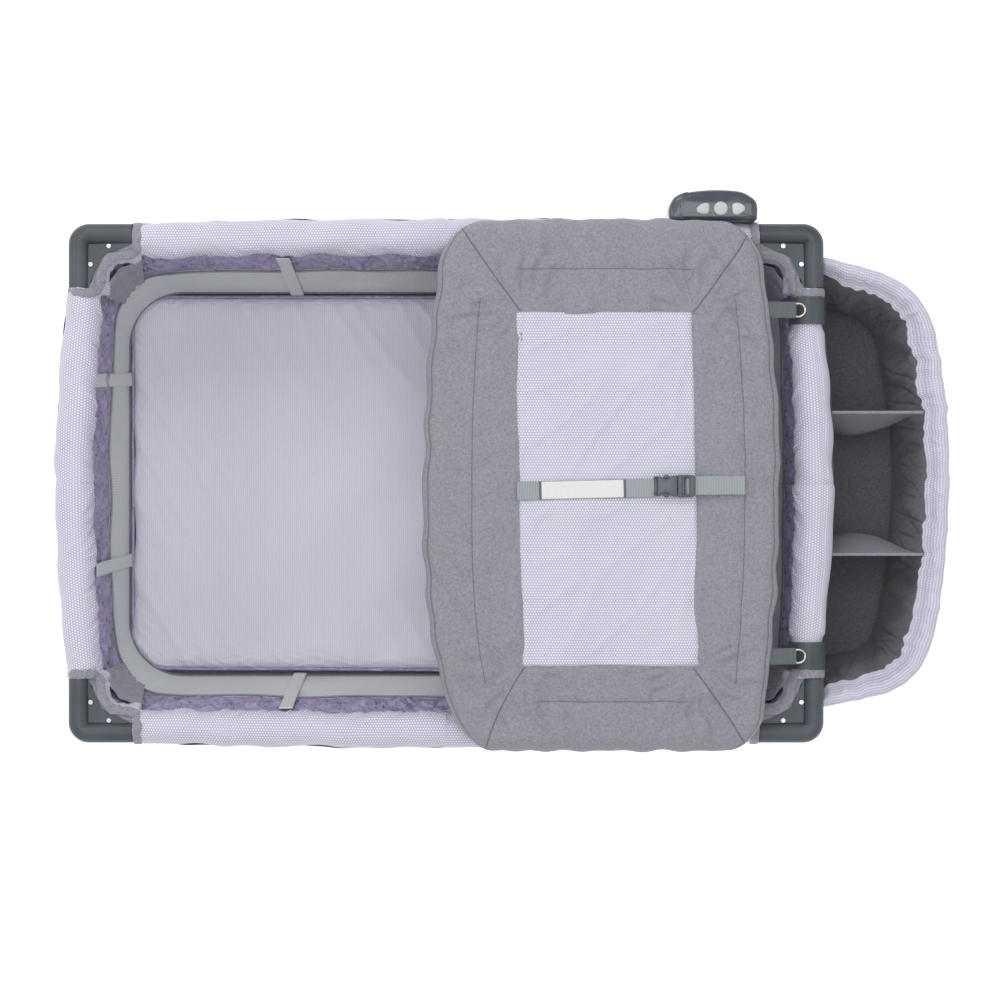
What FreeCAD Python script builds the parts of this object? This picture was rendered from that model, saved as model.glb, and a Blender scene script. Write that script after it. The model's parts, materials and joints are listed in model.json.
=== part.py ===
"""Folding playpen with a hung bassinet, a flip-away changer, a music module and a side organiser.

The frame stands on the XY plane: X runs along the long rails towards the organiser, Y towards
the music module and Z is up. The origin lies under the middle of the floor hub. All sizes are
millimetres and come from the Sizes sheet.

The frame folds about parallel pins. Every top rail is two half rails that drop at a middle
bracket, and four floor struts lift a middle hub, so all four legs stay upright and come
together.
"""

import FreeCAD, Part
import Sketcher

import math
import os
import re

DOC = FreeCAD.newDocument("Playpen")
SHEET = DOC.addObject("Spreadsheet::Sheet", "Sizes")

SIZES = {
    # the frame: leg axes, rail height and the places of the pins
    "leg_x": 501, "leg_y": 339, "rail_z": 700, "leg_r": 11, "leg_wall": 1.5, "leg_foot_z": 50,
    "tube_r": 8, "tube_wall": 1.2, "pin_in": 41, "bracket_half": 30, "knuckle_w": 15,
    "pin_r": 3, "pin_gap": 0.05, "open_pin_gap": 0.4,
    # the corner castings, which measure edge from the leg axis to their outer faces
    "edge": 17, "arm_w": 28, "arm_end": 71, "corner_r": 28.5, "skirt_low": 30, "bead_z": 8,
    "web_top": 14, "web_corner": 29, "slot_half": 8.6, "slot_top": 9.6, "pin_len": 29,
    "screw_r": 3, "screw_far": 39, "screw_near": 14, "screw_t": 1.6, "leg_top": 14,
    # the floor mechanism
    "strut_z": 30, "hub_pin": 62, "hub_r": 44, "hub_low": 19, "hub_high": 41, "pad_r": 38,
    "arm_from": 30, "arm_out": 12, "hub_slot": 24, "hub_slot_in": 9, "hub_skin": 2,
    "clevis_w": 34, "clevis_slot": 16.4, "clevis_low": 8, "clevis_high": 44, "fork_len": 43,
    "fork_back": 14, "fork_slot": 25, "fork_slot_back": 15, "slot_drop": 9, "foot_r": 17,
    "foot_high": 58, "bridge_len": 30, "bridge_w": 12, "bridge_in": 20, "wheel_r": 22,
    "wheel_w": 14, "wheel_out": 14, "axle_r": 3, "axle_over": 5, "cheek_t": 4, "cheek_gap": 1,
    "cheek_low": 14, "cheek_back": 8, "rim_w": 7, "dish": 3, "boss_r": 6,
    # the rail latches
    "bracket_len": 92, "bracket_w": 22, "bracket_low": 10, "bracket_high": 9.5,
    "bracket_wall": 1.5, "side_gap": 0.3, "latch_r": 5, "latch_low": 16, "latch_high": 7,
    "latch_gap": 0.3, "flange_w": 1.5, "flange_t": 1.3, "flange_gap": 0.2,
    # the fabric covers
    "sleeve_in": 5, "sleeve_r": 22, "sleeve_wall": 2, "cover_t": 2.4, "cover_low": 74,
    "cover_x": 487, "cover_y": 325, "floor_x": 484, "floor_y": 331, "floor_z": 64,
    "floor_t": 3, "floor_notch": 44,
    # the bassinet and its mattress
    "crib_x": 464, "crib_y": 300, "crib_r": 70, "crib_low": 445, "crib_top": 696,
    "crib_wall": 3, "bed_x": 456, "bed_y": 277, "bed_r": 45, "bed_t": 21, "bed_gap": 0.5,
    "rod_r": 4.5, "rod_len": 560, "rod_gap": 210,
    # the changer
    "pad_left": -30, "pad_right": 450, "pad_y": 363, "pad_corner": 50, "pad_low": 739.5,
    "pad_t": 26.5, "loop_left": 14, "loop_right": 420, "loop_y": 334, "loop_r": 8,
    "loop_z": 731, "loop_bend": 50, "belt_y": -10, "belt_w": 25, "belt_t": 2,
    "belt_z": 766.3, "belt_left": 96, "belt_right": 404, "socket_left": 281.5,
    "socket_right": 313.8, "tongue_right": 338, "buckle_w": 33, "buckle_t": 11, "prong_len": 24,
    "prong_w": 6, "prong_t": 5, "cavity_w": 25, "cavity_t": 6, "cavity_len": 28,
    "clip_y": 236, "clip_w": 37, "clip_in": 22.7, "clip_out": 25.5, "clip_low": 690,
    "ring_r": 9, "ring_wire": 1.6, "ring_x": 481, "strap_w": 22, "strap_t": 1.6,
    # the music module
    "module_left": 305, "module_len": 122, "module_in": 358.5, "module_w": 43.5,
    "module_low": 655, "module_tall": 80, "module_round": 13, "module_wall": 2.5,
    "room_x": 8, "room_y": 4, "room_low": 6, "key_gap": 0.35,
    "key_y": 375, "key_r": 9.3, "side_key_r": 7.4, "key_x": 375, "key_step": 24.5,
    "key_tall": 6.5, "key_proud": 2, "hook_in": 22.6, "hook_out": 26, "hook_len": 50,
    # the organiser
    "bag_in": 523.5, "bag_out": 690, "bag_y": 300, "bag_bend": 82, "bag_low": 460,
    "bag_top": 705, "bag_wall": 4, "divider_y": 98, "divider_drop": 25, "hanger_w": 30,
    "hanger_r": 25, "hanger_at": 130, "hanger_t": 9, "hanger_low": 5, "hanger_in": 1.6,
}
SIGNS = {"FL": (-1, -1), "FR": (1, -1), "BR": (1, 1), "BL": (-1, 1)}
TURNS = {"FL": 0, "FR": 90, "BR": 180, "BL": 270}
X_AXIS, Y_AXIS = FreeCAD.Vector(1, 0, 0), FreeCAD.Vector(0, 1, 0)
TIP = {  # rotations that lay a cylinder, made along Z, along another axis
    "x": FreeCAD.Rotation(Y_AXIS, 90),
    "y": FreeCAD.Rotation(X_AXIS, -90),
    "z": FreeCAD.Rotation(),
}
FINISHED = []
NAMES = {}


def fill_sheet():
    """One row for each driving size: its word, its number and the number's alias."""
    for row, (word, value) in enumerate(SIZES.items(), start=1):
        SHEET.set(f"A{row}", word)
        SHEET.set(f"B{row}", str(value))
        SHEET.setAlias(f"B{row}", word)
    DOC.recompute()


def size(text):
    """The number that an expression of sheet words comes to now."""
    for word in sorted(set(re.findall(r"[a-z][a-z_]+", text)), key=len, reverse=True):
        text = re.sub(rf"\b{word}\b", f"({SIZES[word]})", text)
    total = SHEET.evalExpression(text)
    return float(total)


def bind(obj, prop, text):
    """Tie a property to an expression of sheet words."""
    obj.setExpression(prop, re.sub(r"[a-z][a-z_]+", r"Sizes.\g<0>", str(text)))


def place(obj, at, turn=None):
    """Tie an object's place to three expressions, after turning it."""
    if turn is not None:
        obj.Placement = FreeCAD.Placement(FreeCAD.Vector(), turn)
    for letter, text in zip("xyz", at):
        bind(obj, f"Placement.Base.{letter}", text)
    return obj


def new(kind, name):
    """A document object whose internal name is kept unique."""
    NAMES[name] = NAMES.get(name, 0) + 1
    return DOC.addObject(kind, f"{name}_{NAMES[name]}")


def box(dims, at, turn=None):
    """A box with its lowest corner at a place."""
    obj = new("Part::Box", "box")
    for prop, text in zip(("Length", "Width", "Height"), dims):
        bind(obj, prop, text)
    return place(obj, at, turn)


def rod(radius, length, at, axis="z", angle=360, start=0):
    """A cylinder, or a sector of one, that starts at a place and runs along an axis."""
    obj = new("Part::Cylinder", "rod")
    bind(obj, "Radius", radius)
    bind(obj, "Height", length)
    obj.Angle = angle
    return place(obj, at, TIP[axis].multiply(FreeCAD.Rotation(FreeCAD.Vector(0, 0, 1), start)))


def bend(ring, wire, at, start, angle=90):
    """Part of a torus that lies flat, from the start angle on."""
    obj = new("Part::Torus", "bend")
    bind(obj, "Radius1", ring)
    bind(obj, "Radius2", wire)
    obj.Angle3 = angle
    return place(obj, at, FreeCAD.Rotation(FreeCAD.Vector(0, 0, 1), start))


def prism(points, low, tall):
    """A polygon of expressions, drawn in a sketch and pushed upwards."""
    sketch = new("Sketcher::SketchObject", "outline")
    corners = [FreeCAD.Vector(size(x), size(y), 0) for x, y in points]
    for i, corner in enumerate(corners):
        sketch.addGeometry(Part.LineSegment(corner, corners[(i + 1) % len(corners)]))
    solid = new("Part::Extrusion", "prism")
    solid.Base = sketch
    solid.DirMode = "Custom"
    solid.Dir = FreeCAD.Vector(0, 0, 1)
    solid.Solid = True
    bind(solid, "LengthFwd", tall)
    bind(solid, "Placement.Base.z", low)
    return solid


def fuse(*parts):
    """One solid from several that overlap."""
    obj = new("Part::MultiFuse", "fuse")
    obj.Shapes = list(parts)
    obj.Refine = True
    return obj


def group(*parts):
    """Separate solids that share a node."""
    obj = new("Part::Compound", "group")
    obj.Links = list(parts)
    return obj


def cut(base, *tools):
    """The base with every tool taken away."""
    obj = new("Part::Cut", "cut")
    obj.Base = base
    obj.Tool = tools[0] if len(tools) == 1 else fuse(*tools)
    obj.Refine = True
    return obj


def node(label, obj, at=None, turn=0):
    """Name a finished sub-part and put it in its place."""
    obj.Label = label
    if at is not None:
        place(obj, at, FreeCAD.Rotation(FreeCAD.Vector(0, 0, 1), turn))
    FINISHED.append(obj)
    return obj


def slab(left, right, front, back, radius, low, tall):
    """An upright plate with four round corners, as two crossed boxes and four cylinders."""
    wide = box((f"{right} - ({left})", f"{back} - ({front}) - 2 * ({radius})", tall),
               (left, f"{front} + {radius}", low))
    deep = box((f"{right} - ({left}) - 2 * ({radius})", f"{back} - ({front})", tall),
               (f"{left} + {radius}", front, low))
    posts = [
        rod(radius, tall, (x, y, low))
        for x in (f"{left} + {radius}", f"{right} - ({radius})")
        for y in (f"{front} + {radius}", f"{back} - ({radius})")
    ]
    return fuse(wide, deep, *posts)


def hollow_tube(radius, wall, length, at, axis="z"):
    return cut(rod(radius, length, at, axis), rod(f"{radius} - {wall}", length, at, axis))


def legs():
    for key, (sx, sy) in SIGNS.items():
        at = (f"{sx} * leg_x", f"{sy} * leg_y", "leg_foot_z")
        node(f"leg_tube_{key}", hollow_tube(
            "leg_r", "leg_wall", "rail_z - leg_top - leg_foot_z", ("0", "0", "0")), at)


def castings():
    """Corner elbows: two half-round arms over skirts, with a flat web between the arms."""
    reach = "arm_end - corner_r + edge"
    centre = "corner_r - edge"
    skirt = "skirt_low + bead_z"
    bead = "arm_w / 2"
    mid = "arm_w / 2 - edge"
    inner = "arm_w - edge"
    for key, (sx, sy) in SIGNS.items():
        web = prism(((inner, inner), ("arm_end", f"{inner} - 1"), ("web_corner", "web_corner"),
                     (f"{inner} - 1", "arm_end")), "-skirt_low", "skirt_low + web_top")
        solid = fuse(
            rod("corner_r", skirt, (centre, centre, "-skirt_low"), "z", 90, 180),
            box((reach, "arm_w", skirt), (centre, "-edge", "-skirt_low")),
            box(("arm_w", reach, skirt), ("-edge", centre, "-skirt_low")),
            rod(bead, reach, (centre, mid, "bead_z"), "x"),
            rod(bead, reach, (mid, centre, "bead_z"), "y"),
            bend(f"{centre} - ({mid})", bead, (centre, centre, "bead_z"), 180),
            web,
        )
        room = "arm_end - pin_in + slot_half + 3"
        start = "pin_in - slot_half - 1"
        tall = "skirt_low + slot_top + 1"
        solid = cut(
            solid,
            box((room, "2 * slot_half", tall), (start, "-slot_half", "-skirt_low - 1")),
            box(("2 * slot_half", room, tall), ("-slot_half", start, "-skirt_low - 1")),
            rod("leg_r", "skirt_low - leg_top + 1", ("0", "0", "-skirt_low - 1")),
            rod("pin_r", "pin_len", ("pin_in", "4 - edge", "0"), "y"),
            rod("pin_r", "pin_len", ("4 - edge", "pin_in", "0"), "x"),
        )
        node(f"corner_casting_{key}", solid,
             (f"{sx} * leg_x", f"{sy} * leg_y", "rail_z"), TURNS[key])


def diagonal(sx, sy):
    """The direction, in degrees, of the floor strut that runs to one corner."""
    run_x = sx * size("leg_x - pin_in - bracket_half")
    run_y = sy * size("leg_y - pin_in - bracket_half")
    return math.degrees(math.atan2(run_y, run_x)), math.hypot(run_x, run_y)


def strut_pin(sx, sy, radius):
    """The place of a point on a corner's diagonal, at a radius from the hub's middle."""
    angle = math.radians(diagonal(sx, sy)[0])
    return f"{radius * math.cos(angle)}", f"{radius * math.sin(angle)}"


def turned(obj, at, degrees):
    return place(obj, at, FreeCAD.Rotation(FreeCAD.Vector(0, 0, 1), degrees))


def feet():
    """A socket for the leg with a fork for the strut, and on the left legs a wheel fork."""
    for key, (sx, sy) in SIGNS.items():
        degrees, run = diagonal(sx, sy)
        px, py = strut_pin(sx, sy, size("hub_pin") + run)
        leg_at = (f"{sx} * leg_x", f"{sy} * leg_y")
        fork = box(("fork_len", "clevis_w", "clevis_high - clevis_low"),
                   ("-fork_back", "-clevis_w / 2", "clevis_low"))
        wheeled = sx < 0
        low = "wheel_r * 2 + 2" if wheeled else "0"
        socket = rod("foot_r", f"foot_high - ({low})", (*leg_at, low))
        parts = [turned(group(fork), (px, py, "0"), degrees), socket]
        wheel_x = f"{sx} * (leg_x + wheel_out)"
        if wheeled:
            for side in (-1, 1):
                middle = f"{sy} * leg_y + {side} * (wheel_w / 2 + cheek_gap + cheek_t / 2)"
                parts.append(box(
                    ("foot_r + wheel_out + cheek_back", "cheek_t", "foot_high - cheek_low"),
                    (f"{wheel_x} - cheek_back", f"{middle} - cheek_t / 2", "cheek_low")))
        else:
            parts.append(box(
                ("bridge_len", "bridge_w", "bridge_len"),
                ("leg_x - bridge_len / 2 - cheek_back",
                 f"{sy} * (leg_y - bridge_in) - bridge_w / 2", "clevis_low")))
        solid = fuse(*parts)
        tools = [
            turned(group(box(("fork_slot", "clevis_slot", "clevis_high"),
                             ("-fork_slot_back", "-clevis_slot / 2", "strut_z - slot_drop"))),
                   (px, py, "0"), degrees),
            turned(group(rod("pin_r", "clevis_w + 2", ("0", "-clevis_w / 2 - 1", "0"), "y")),
                   (px, py, "strut_z"), degrees),
            rod("leg_r", "foot_high", (*leg_at, "leg_foot_z")),
        ]
        if wheeled:
            tools.append(rod("axle_r", "wheel_w + 4 * axle_over",
                             (wheel_x, f"{sy} * leg_y - wheel_w / 2 - 2 * axle_over", "wheel_r"),
                             "y"))
            tools.append(rod("wheel_r + 1.5", "wheel_w + 1",
                             (wheel_x, f"{sy} * leg_y - (wheel_w + 1) / 2", "wheel_r"), "y"))
        node(f"foot_{key}", cut(solid, *tools))


def pins():
    """The pins and screws that one leg carries: rail pins, strut pin, axle and cap screws."""
    for key, (sx, sy) in SIGNS.items():
        degrees, run = diagonal(sx, sy)
        px, py = strut_pin(sx, sy, size("hub_pin") + run)
        top = group(
            rod("pin_r", "pin_len", ("pin_in", "4 - edge", "0"), "y"),
            rod("pin_r", "pin_len", ("4 - edge", "pin_in", "0"), "x"),
            rod("screw_r", "screw_t", ("screw_far", "screw_near", "web_top")),
            rod("screw_r", "screw_t", ("screw_near", "screw_far", "web_top")),
        )
        place(top, (f"{sx} * leg_x", f"{sy} * leg_y", "rail_z"),
              FreeCAD.Rotation(FreeCAD.Vector(0, 0, 1), TURNS[key]))
        low = turned(group(rod("pin_r", "clevis_w", ("0", "-clevis_w / 2", "0"), "y")),
                     (px, py, "strut_z"), degrees)
        parts = [top, low]
        if sx < 0:
            parts.append(rod("axle_r", "wheel_w + 2 * axle_over",
                             (f"{sx} * (leg_x + wheel_out)",
                              f"{sy} * leg_y - wheel_w / 2 - axle_over", "wheel_r"), "y"))
        node(f"pins_{key}", group(*parts))


def wheels():
    for key in ("FL", "BL"):
        sx, sy = SIGNS[key]
        tyre = rod("wheel_r", "wheel_w", ("0", "-wheel_w / 2", "0"), "y")
        bore = rod("axle_r + pin_gap", "wheel_w + 2", ("0", "-wheel_w / 2 - 1", "0"), "y")
        grooves = [rod("wheel_r - rim_w", "dish", ("0", y, "0"), "y")
                   for y in ("-wheel_w / 2 - 1", "wheel_w / 2 + 1 - dish")]
        boss = rod("boss_r", "wheel_w", ("0", "-wheel_w / 2", "0"), "y")
        wheel = cut(fuse(cut(tyre, *grooves), boss), bore)
        node(f"wheel_{key}", wheel,
             (f"{sx} * (leg_x + wheel_out)", f"{sy} * leg_y", "wheel_r"))


def link(length, far_gap):
    """A tube along X with a round knuckle at each end, bored for its pins."""
    tube = cut(rod("tube_r", length, ("0", "0", "0"), "x"),
               rod("tube_r - tube_wall", f"{length} - 2 * tube_r", ("tube_r", "0", "0"), "x"))
    ends = [rod("tube_r", "knuckle_w", (x, "-knuckle_w / 2", "0"), "y") for x in ("0", length)]
    bores = [
        rod(f"pin_r + {gap}", "knuckle_w + 4", (x, "-knuckle_w / 2 - 2", "0"), "y")
        for x, gap in (("0", "pin_gap"), (length, far_gap))
    ]
    return cut(fuse(tube, *ends), *bores)


def half_rails():
    """Eight half rails. The first of each pair carries the middle bracket."""
    run_x = "leg_x - pin_in - bracket_half"
    run_y = "leg_y - pin_in - bracket_half"
    inner_x, inner_y = "leg_x - pin_in", "leg_y - pin_in"
    rails = {
        "rail_front_left": (run_x, f"-({inner_x})", "-leg_y", 0, "pin_gap"),
        "rail_front_right": (run_x, inner_x, "-leg_y", 180, "open_pin_gap"),
        "rail_back_right": (run_x, inner_x, "leg_y", 180, "pin_gap"),
        "rail_back_left": (run_x, f"-({inner_x})", "leg_y", 0, "open_pin_gap"),
        "rail_left_back": (run_y, "-leg_x", inner_y, 270, "pin_gap"),
        "rail_left_front": (run_y, "-leg_x", f"-({inner_y})", 90, "open_pin_gap"),
        "rail_right_front": (run_y, "leg_x", f"-({inner_y})", 90, "pin_gap"),
        "rail_right_back": (run_y, "leg_x", inner_y, 270, "open_pin_gap"),
    }
    for name, (run, x, y, degrees, gap) in rails.items():
        node(name, link(run, gap), (x, y, "rail_z"), degrees)


def brackets():
    """U-shaped middle brackets with riveted pins, and the latch button under each."""
    sides = {
        "front": ("0", "-leg_y", 0), "back": ("0", "leg_y", 0),
        "left": ("-leg_x", "0", 90), "right": ("leg_x", "0", 90),
    }
    for name, (x, y, degrees) in sides.items():
        tall = "bracket_low + bracket_high"
        body = box(("bracket_len", "bracket_w", tall),
                   ("-bracket_len / 2", "-bracket_w / 2", "-bracket_low"))
        slot = box(("bracket_len + 2", "2 * (tube_r + side_gap)", tall),
                   ("-bracket_len / 2 - 1", "-tube_r - side_gap", "bracket_wall - bracket_low"))
        hole = rod("latch_r + latch_gap", "4 * bracket_wall", ("0", "0", "-bracket_low - 2"))
        rivets = [rod("pin_r", "bracket_w", (at, "-bracket_w / 2", "0"), "y")
                  for at in ("-bracket_half", "bracket_half")]
        node(f"latch_bracket_{name}", fuse(cut(body, slot, hole), *rivets),
             (x, y, "rail_z"), degrees)
        button = fuse(
            rod("latch_r", "latch_low - latch_high", ("0", "0", "-latch_low")),
            rod("latch_r + flange_w", "flange_t",
                ("0", "0", "bracket_wall + flange_gap - bracket_low")),
        )
        node(f"latch_button_{name}", button, (x, y, "rail_z"))


def floor_mechanism():
    """The hub that is pulled up to fold the frame, and its four struts."""
    tall = "hub_high - hub_low"
    solids = [rod("hub_r", tall, ("0", "0", "hub_low")),
              rod("pad_r", "hub_low + 1", ("0", "0", "0"))]
    slots, rivets = [], []
    for key, (sx, sy) in SIGNS.items():
        degrees, run = diagonal(sx, sy)
        arm = box(("hub_pin + arm_out - arm_from", "clevis_w", tall),
                  ("arm_from", "-clevis_w / 2", "hub_low"))
        slot = box(("hub_slot", "clevis_slot", "hub_high - hub_skin - hub_low + 1"),
                   ("hub_pin - hub_slot_in", "-clevis_slot / 2", "hub_low - 1"))
        rivet = rod("pin_r", "clevis_w", ("hub_pin", "-clevis_w / 2", "strut_z"), "y")
        for store, obj in ((solids, arm), (slots, slot), (rivets, rivet)):
            store.append(turned(group(obj), ("0", "0", "0"), degrees))
        px, py = strut_pin(sx, sy, size("hub_pin"))
        node(f"floor_strut_{key}", link(f"{run}", "pin_gap"), (px, py, "strut_z"), degrees)
    node("floor_hub", fuse(cut(fuse(*solids), *slots), *rivets))


def side_cover(name, half, wall_half, offset, degrees, at):
    """A sleeve round the rail with the side panel that hangs from it down to the floor."""
    length = f"2 * ({half})"
    ring = hollow_tube("sleeve_r", "sleeve_wall", length, (f"-({half})", offset, "rail_z"), "x")
    low = box((f"2 * ({wall_half})", "cover_t", "rail_z - skirt_low - 2 - cover_low"),
              (f"-({wall_half})", f"{offset} - cover_t / 2", "cover_low"))
    high = box((length, "cover_t", "skirt_low + 3.5 - sleeve_r"),
               (f"-({half})", f"{offset} - cover_t / 2", "rail_z - skirt_low - 3"))
    node(name, fuse(ring, low, high), at, degrees)


def covers():
    arm = "arm_end + 1"
    near_y, near_x = "sleeve_in - leg_y", "sleeve_in - leg_x"
    origin = ("0", "0", "0")
    side_cover("side_cover_front", f"leg_x - ({arm})", "cover_x", near_y, 0, origin)
    side_cover("side_cover_back", f"leg_x - ({arm})", "cover_x", near_y, 180, origin)
    side_cover("side_cover_left", f"leg_y - ({arm})", "cover_y", near_x, 270, origin)
    side_cover("side_cover_right", f"leg_y - ({arm})", "cover_y", near_x, 90, origin)
    panel = box(("2 * floor_x", "2 * floor_y", "floor_t"), ("-floor_x", "-floor_y", "floor_z"))
    notches = [
        box(("floor_notch", "floor_notch", "floor_t + 2"),
            (f"{sx} * (floor_x - floor_notch / 2 + 1) - floor_notch / 2",
             f"{sy} * (floor_y - floor_notch / 2 + 1) - floor_notch / 2", "floor_z - 1"))
        for sx, sy in SIGNS.values()
    ]
    node("floor_panel", cut(panel, *notches))


def bassinet():
    """An open shell of fabric, its mattress and the rods that hold the bottom up."""
    outer = slab("-crib_x", "crib_x", "-crib_y", "crib_y", "crib_r", "crib_low",
                 "crib_top - crib_low")
    inner = slab("crib_wall - crib_x", "crib_x - crib_wall", "crib_wall - crib_y",
                 "crib_y - crib_wall", "crib_r - crib_wall", "crib_low + crib_wall",
                 "crib_top - crib_low")
    node("bassinet_shell", cut(outer, inner))
    node("mattress", slab("-bed_x", "bed_x", "-bed_y", "bed_y", "bed_r",
                          "crib_low + crib_wall + bed_gap", "bed_t"))
    rods = [rod("rod_r", "rod_len", (f"{step} * rod_gap", "-rod_len / 2",
                                     "crib_low - rod_r - 0.3"), "y")
            for step in (-1.5, -0.5, 0.5, 1.5)]
    node("mattress_rods", group(*rods))


def changer():
    """The padded changer on its tube loop, with its belt, buckle and rail clips."""
    node("changer_pad", slab("pad_left", "pad_right", "-pad_y", "pad_y", "pad_corner",
                             "pad_low", "pad_t"))
    long_run = "loop_right - (loop_left) - 2 * loop_bend"
    side_run = "2 * loop_y - 2 * loop_bend"
    runs = [rod("loop_r", long_run, ("loop_left + loop_bend", y, "loop_z"), "x")
            for y in ("-loop_y", "loop_y")]
    runs += [rod("loop_r", side_run, (x, "loop_bend - loop_y", "loop_z"), "y")
             for x in ("loop_left", "loop_right")]
    bends = [
        bend("loop_bend", "loop_r", (x, y, "loop_z"), start)
        for x, y, start in (
            ("loop_right - loop_bend", "loop_y - loop_bend", 0),
            ("loop_left + loop_bend", "loop_y - loop_bend", 90),
            ("loop_left + loop_bend", "loop_bend - loop_y", 180),
            ("loop_right - loop_bend", "loop_bend - loop_y", 270),
        )
    ]
    node("changer_tube_loop", fuse(*runs, *bends))
    belt = ("belt_y - belt_w / 2", "belt_z")
    node("belt_long", box(("socket_left - belt_left", "belt_w", "belt_t"), ("belt_left", *belt)))
    short = box(("belt_right - tongue_right", "belt_w", "belt_t"), ("tongue_right", *belt))
    straps = [box(("ring_x - pad_right - 1", "strap_w", "strap_t"),
                  ("pad_right + 0.5", f"{sy} * clip_y - strap_w / 2", "pad_low + 2"))
              for sy in (-1, 1)]
    node("belt_short_and_straps", group(short, *straps))
    socket = box(("socket_right - socket_left", "buckle_w", "buckle_t"),
                 ("socket_left", "belt_y - buckle_w / 2", "belt_z"))
    hole = box(("cavity_len + 1", "cavity_w", "cavity_t"),
               ("socket_right - cavity_len", "belt_y - cavity_w / 2",
                "belt_z + buckle_t / 2 - cavity_t / 2"))
    node("buckle_socket", cut(socket, hole))
    base = box(("tongue_right - socket_right - 0.3", "buckle_w", "buckle_t"),
               ("socket_right + 0.3", "belt_y - buckle_w / 2", "belt_z"))
    prongs = [box(("prong_len + 2", "prong_w", "prong_t"),
                  ("socket_right - prong_len",
                   f"belt_y + {side} * (cavity_w / 2 - prong_w / 2 - 0.5) - prong_w / 2",
                   "belt_z + buckle_t / 2 - prong_t / 2"))
              for side in (-1, 1)]
    node("buckle_tongue", fuse(base, *prongs))
    clips, rings = [], []
    for sy in (-1, 1):
        low = f"{sy} * clip_y - clip_w / 2"
        ring = cut(rod("clip_out", "clip_w", ("leg_x - sleeve_in", low, "rail_z"), "y"),
                   rod("clip_in", "clip_w + 2", ("leg_x - sleeve_in", f"{low} - 1", "rail_z"),
                       "y"))
        below = box(("2 * clip_out + 2", "clip_w + 2", "clip_out"),
                    ("leg_x - sleeve_in - clip_out - 1", f"{low} - 1", "clip_low - clip_out"))
        clips.append(cut(ring, below))
        rings.append(bend("ring_r", "ring_wire", ("ring_x", f"{sy} * clip_y", "pad_low - 5"),
                          0, 360))
    node("rail_clips", group(*clips))
    node("strap_rings", group(*rings))


def module():
    """The music module: a hollow housing on a half hook, with three keys."""
    body = DOC.addObject("PartDesign::Body", "module_body")
    plane = next(f for f in body.Origin.OriginFeatures if f.Role == "XY_Plane")
    sketch = body.newObject("Sketcher::SketchObject", "module_outline")
    sketch.AttachmentSupport = [(plane, "")]
    sketch.MapMode = "FlatFace"
    corners = [(0, 0), (1, 0), (1, 1), (0, 1)]
    long, deep = size("module_len"), size("module_w")
    for i, (a, b) in enumerate(corners):
        c, d = corners[(i + 1) % 4]
        sketch.addGeometry(Part.LineSegment(FreeCAD.Vector(a * long, b * deep, 0),
                                            FreeCAD.Vector(c * long, d * deep, 0)))
    for i in range(4):
        # each line's end is the next one's start
        sketch.addConstraint(Sketcher.Constraint("Coincident", i, 2, (i + 1) % 4, 1))
    pad = body.newObject("PartDesign::Pad", "module_pad")
    pad.Profile = sketch
    bind(pad, "Length", "module_tall")
    DOC.recompute()
    rounded = body.newObject("PartDesign::Fillet", "module_rounding")
    rounded.Base = (pad, [f"Edge{i + 1}" for i in range(len(pad.Shape.Edges))])
    bind(rounded, "Radius", "module_round")
    body.Tip = rounded
    place(body, ("module_left", "module_in", "module_low"))
    room = box(("module_len - 2 * (module_wall + room_x)", "module_w - 2 * (module_wall + room_y)",
                "module_tall - 2 * module_wall - room_low"),
               ("module_left + module_wall + room_x", "module_in + module_wall + room_y",
                "module_low + module_wall + room_low"))
    keys = {"left": (-1, "side_key_r"), "centre": (0, "key_r"), "right": (1, "side_key_r")}
    top = "module_low + module_tall"
    holes = [rod(f"{radius} + key_gap", "module_wall + 4",
                 (f"key_x + {step} * key_step", "key_y", f"{top} - module_wall - 2"))
             for step, radius in keys.values()]
    at = ("key_x - hook_len / 2", "leg_y - sleeve_in", "rail_z")
    ring = cut(rod("hook_out", "hook_len", at, "x"), rod("hook_in", "hook_len", at, "x"))
    keep = box(("hook_len", "hook_out", "hook_out + 5"),
               ("key_x - hook_len / 2", "leg_y - sleeve_in + cover_t", "rail_z - hook_out"))
    hook = new("Part::Common", "hook")
    hook.Base, hook.Tool = ring, keep
    shell = fuse(cut(body, room, *holes), hook)
    node("module_housing", shell)
    for name, (step, radius) in keys.items():
        node(f"module_key_{name}",
             rod(radius, "key_tall", (f"key_x + {step} * key_step", "key_y",
                                      f"{top} + key_proud - key_tall")))


def bag_outline(inset, low, tall):
    """The organiser's D-shaped plan: straight at the rail and round at its far corners."""
    inner, outer = f"bag_in + {inset}", f"bag_out - {inset}"
    centre = "bag_out - bag_bend"
    half = f"(bag_y - {inset})"
    straight = box((f"{centre} - ({inner})", f"2 * {half}", tall), (inner, f"-{half}", low))
    nose = box((f"{outer} - ({centre})", "2 * (bag_y - bag_bend)", tall),
               (centre, "bag_bend - bag_y", low))
    corners = [rod(f"bag_bend - {inset}", tall, (centre, y, low))
               for y in ("bag_bend - bag_y", "bag_y - bag_bend")]
    return fuse(straight, nose, *corners)


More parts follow.
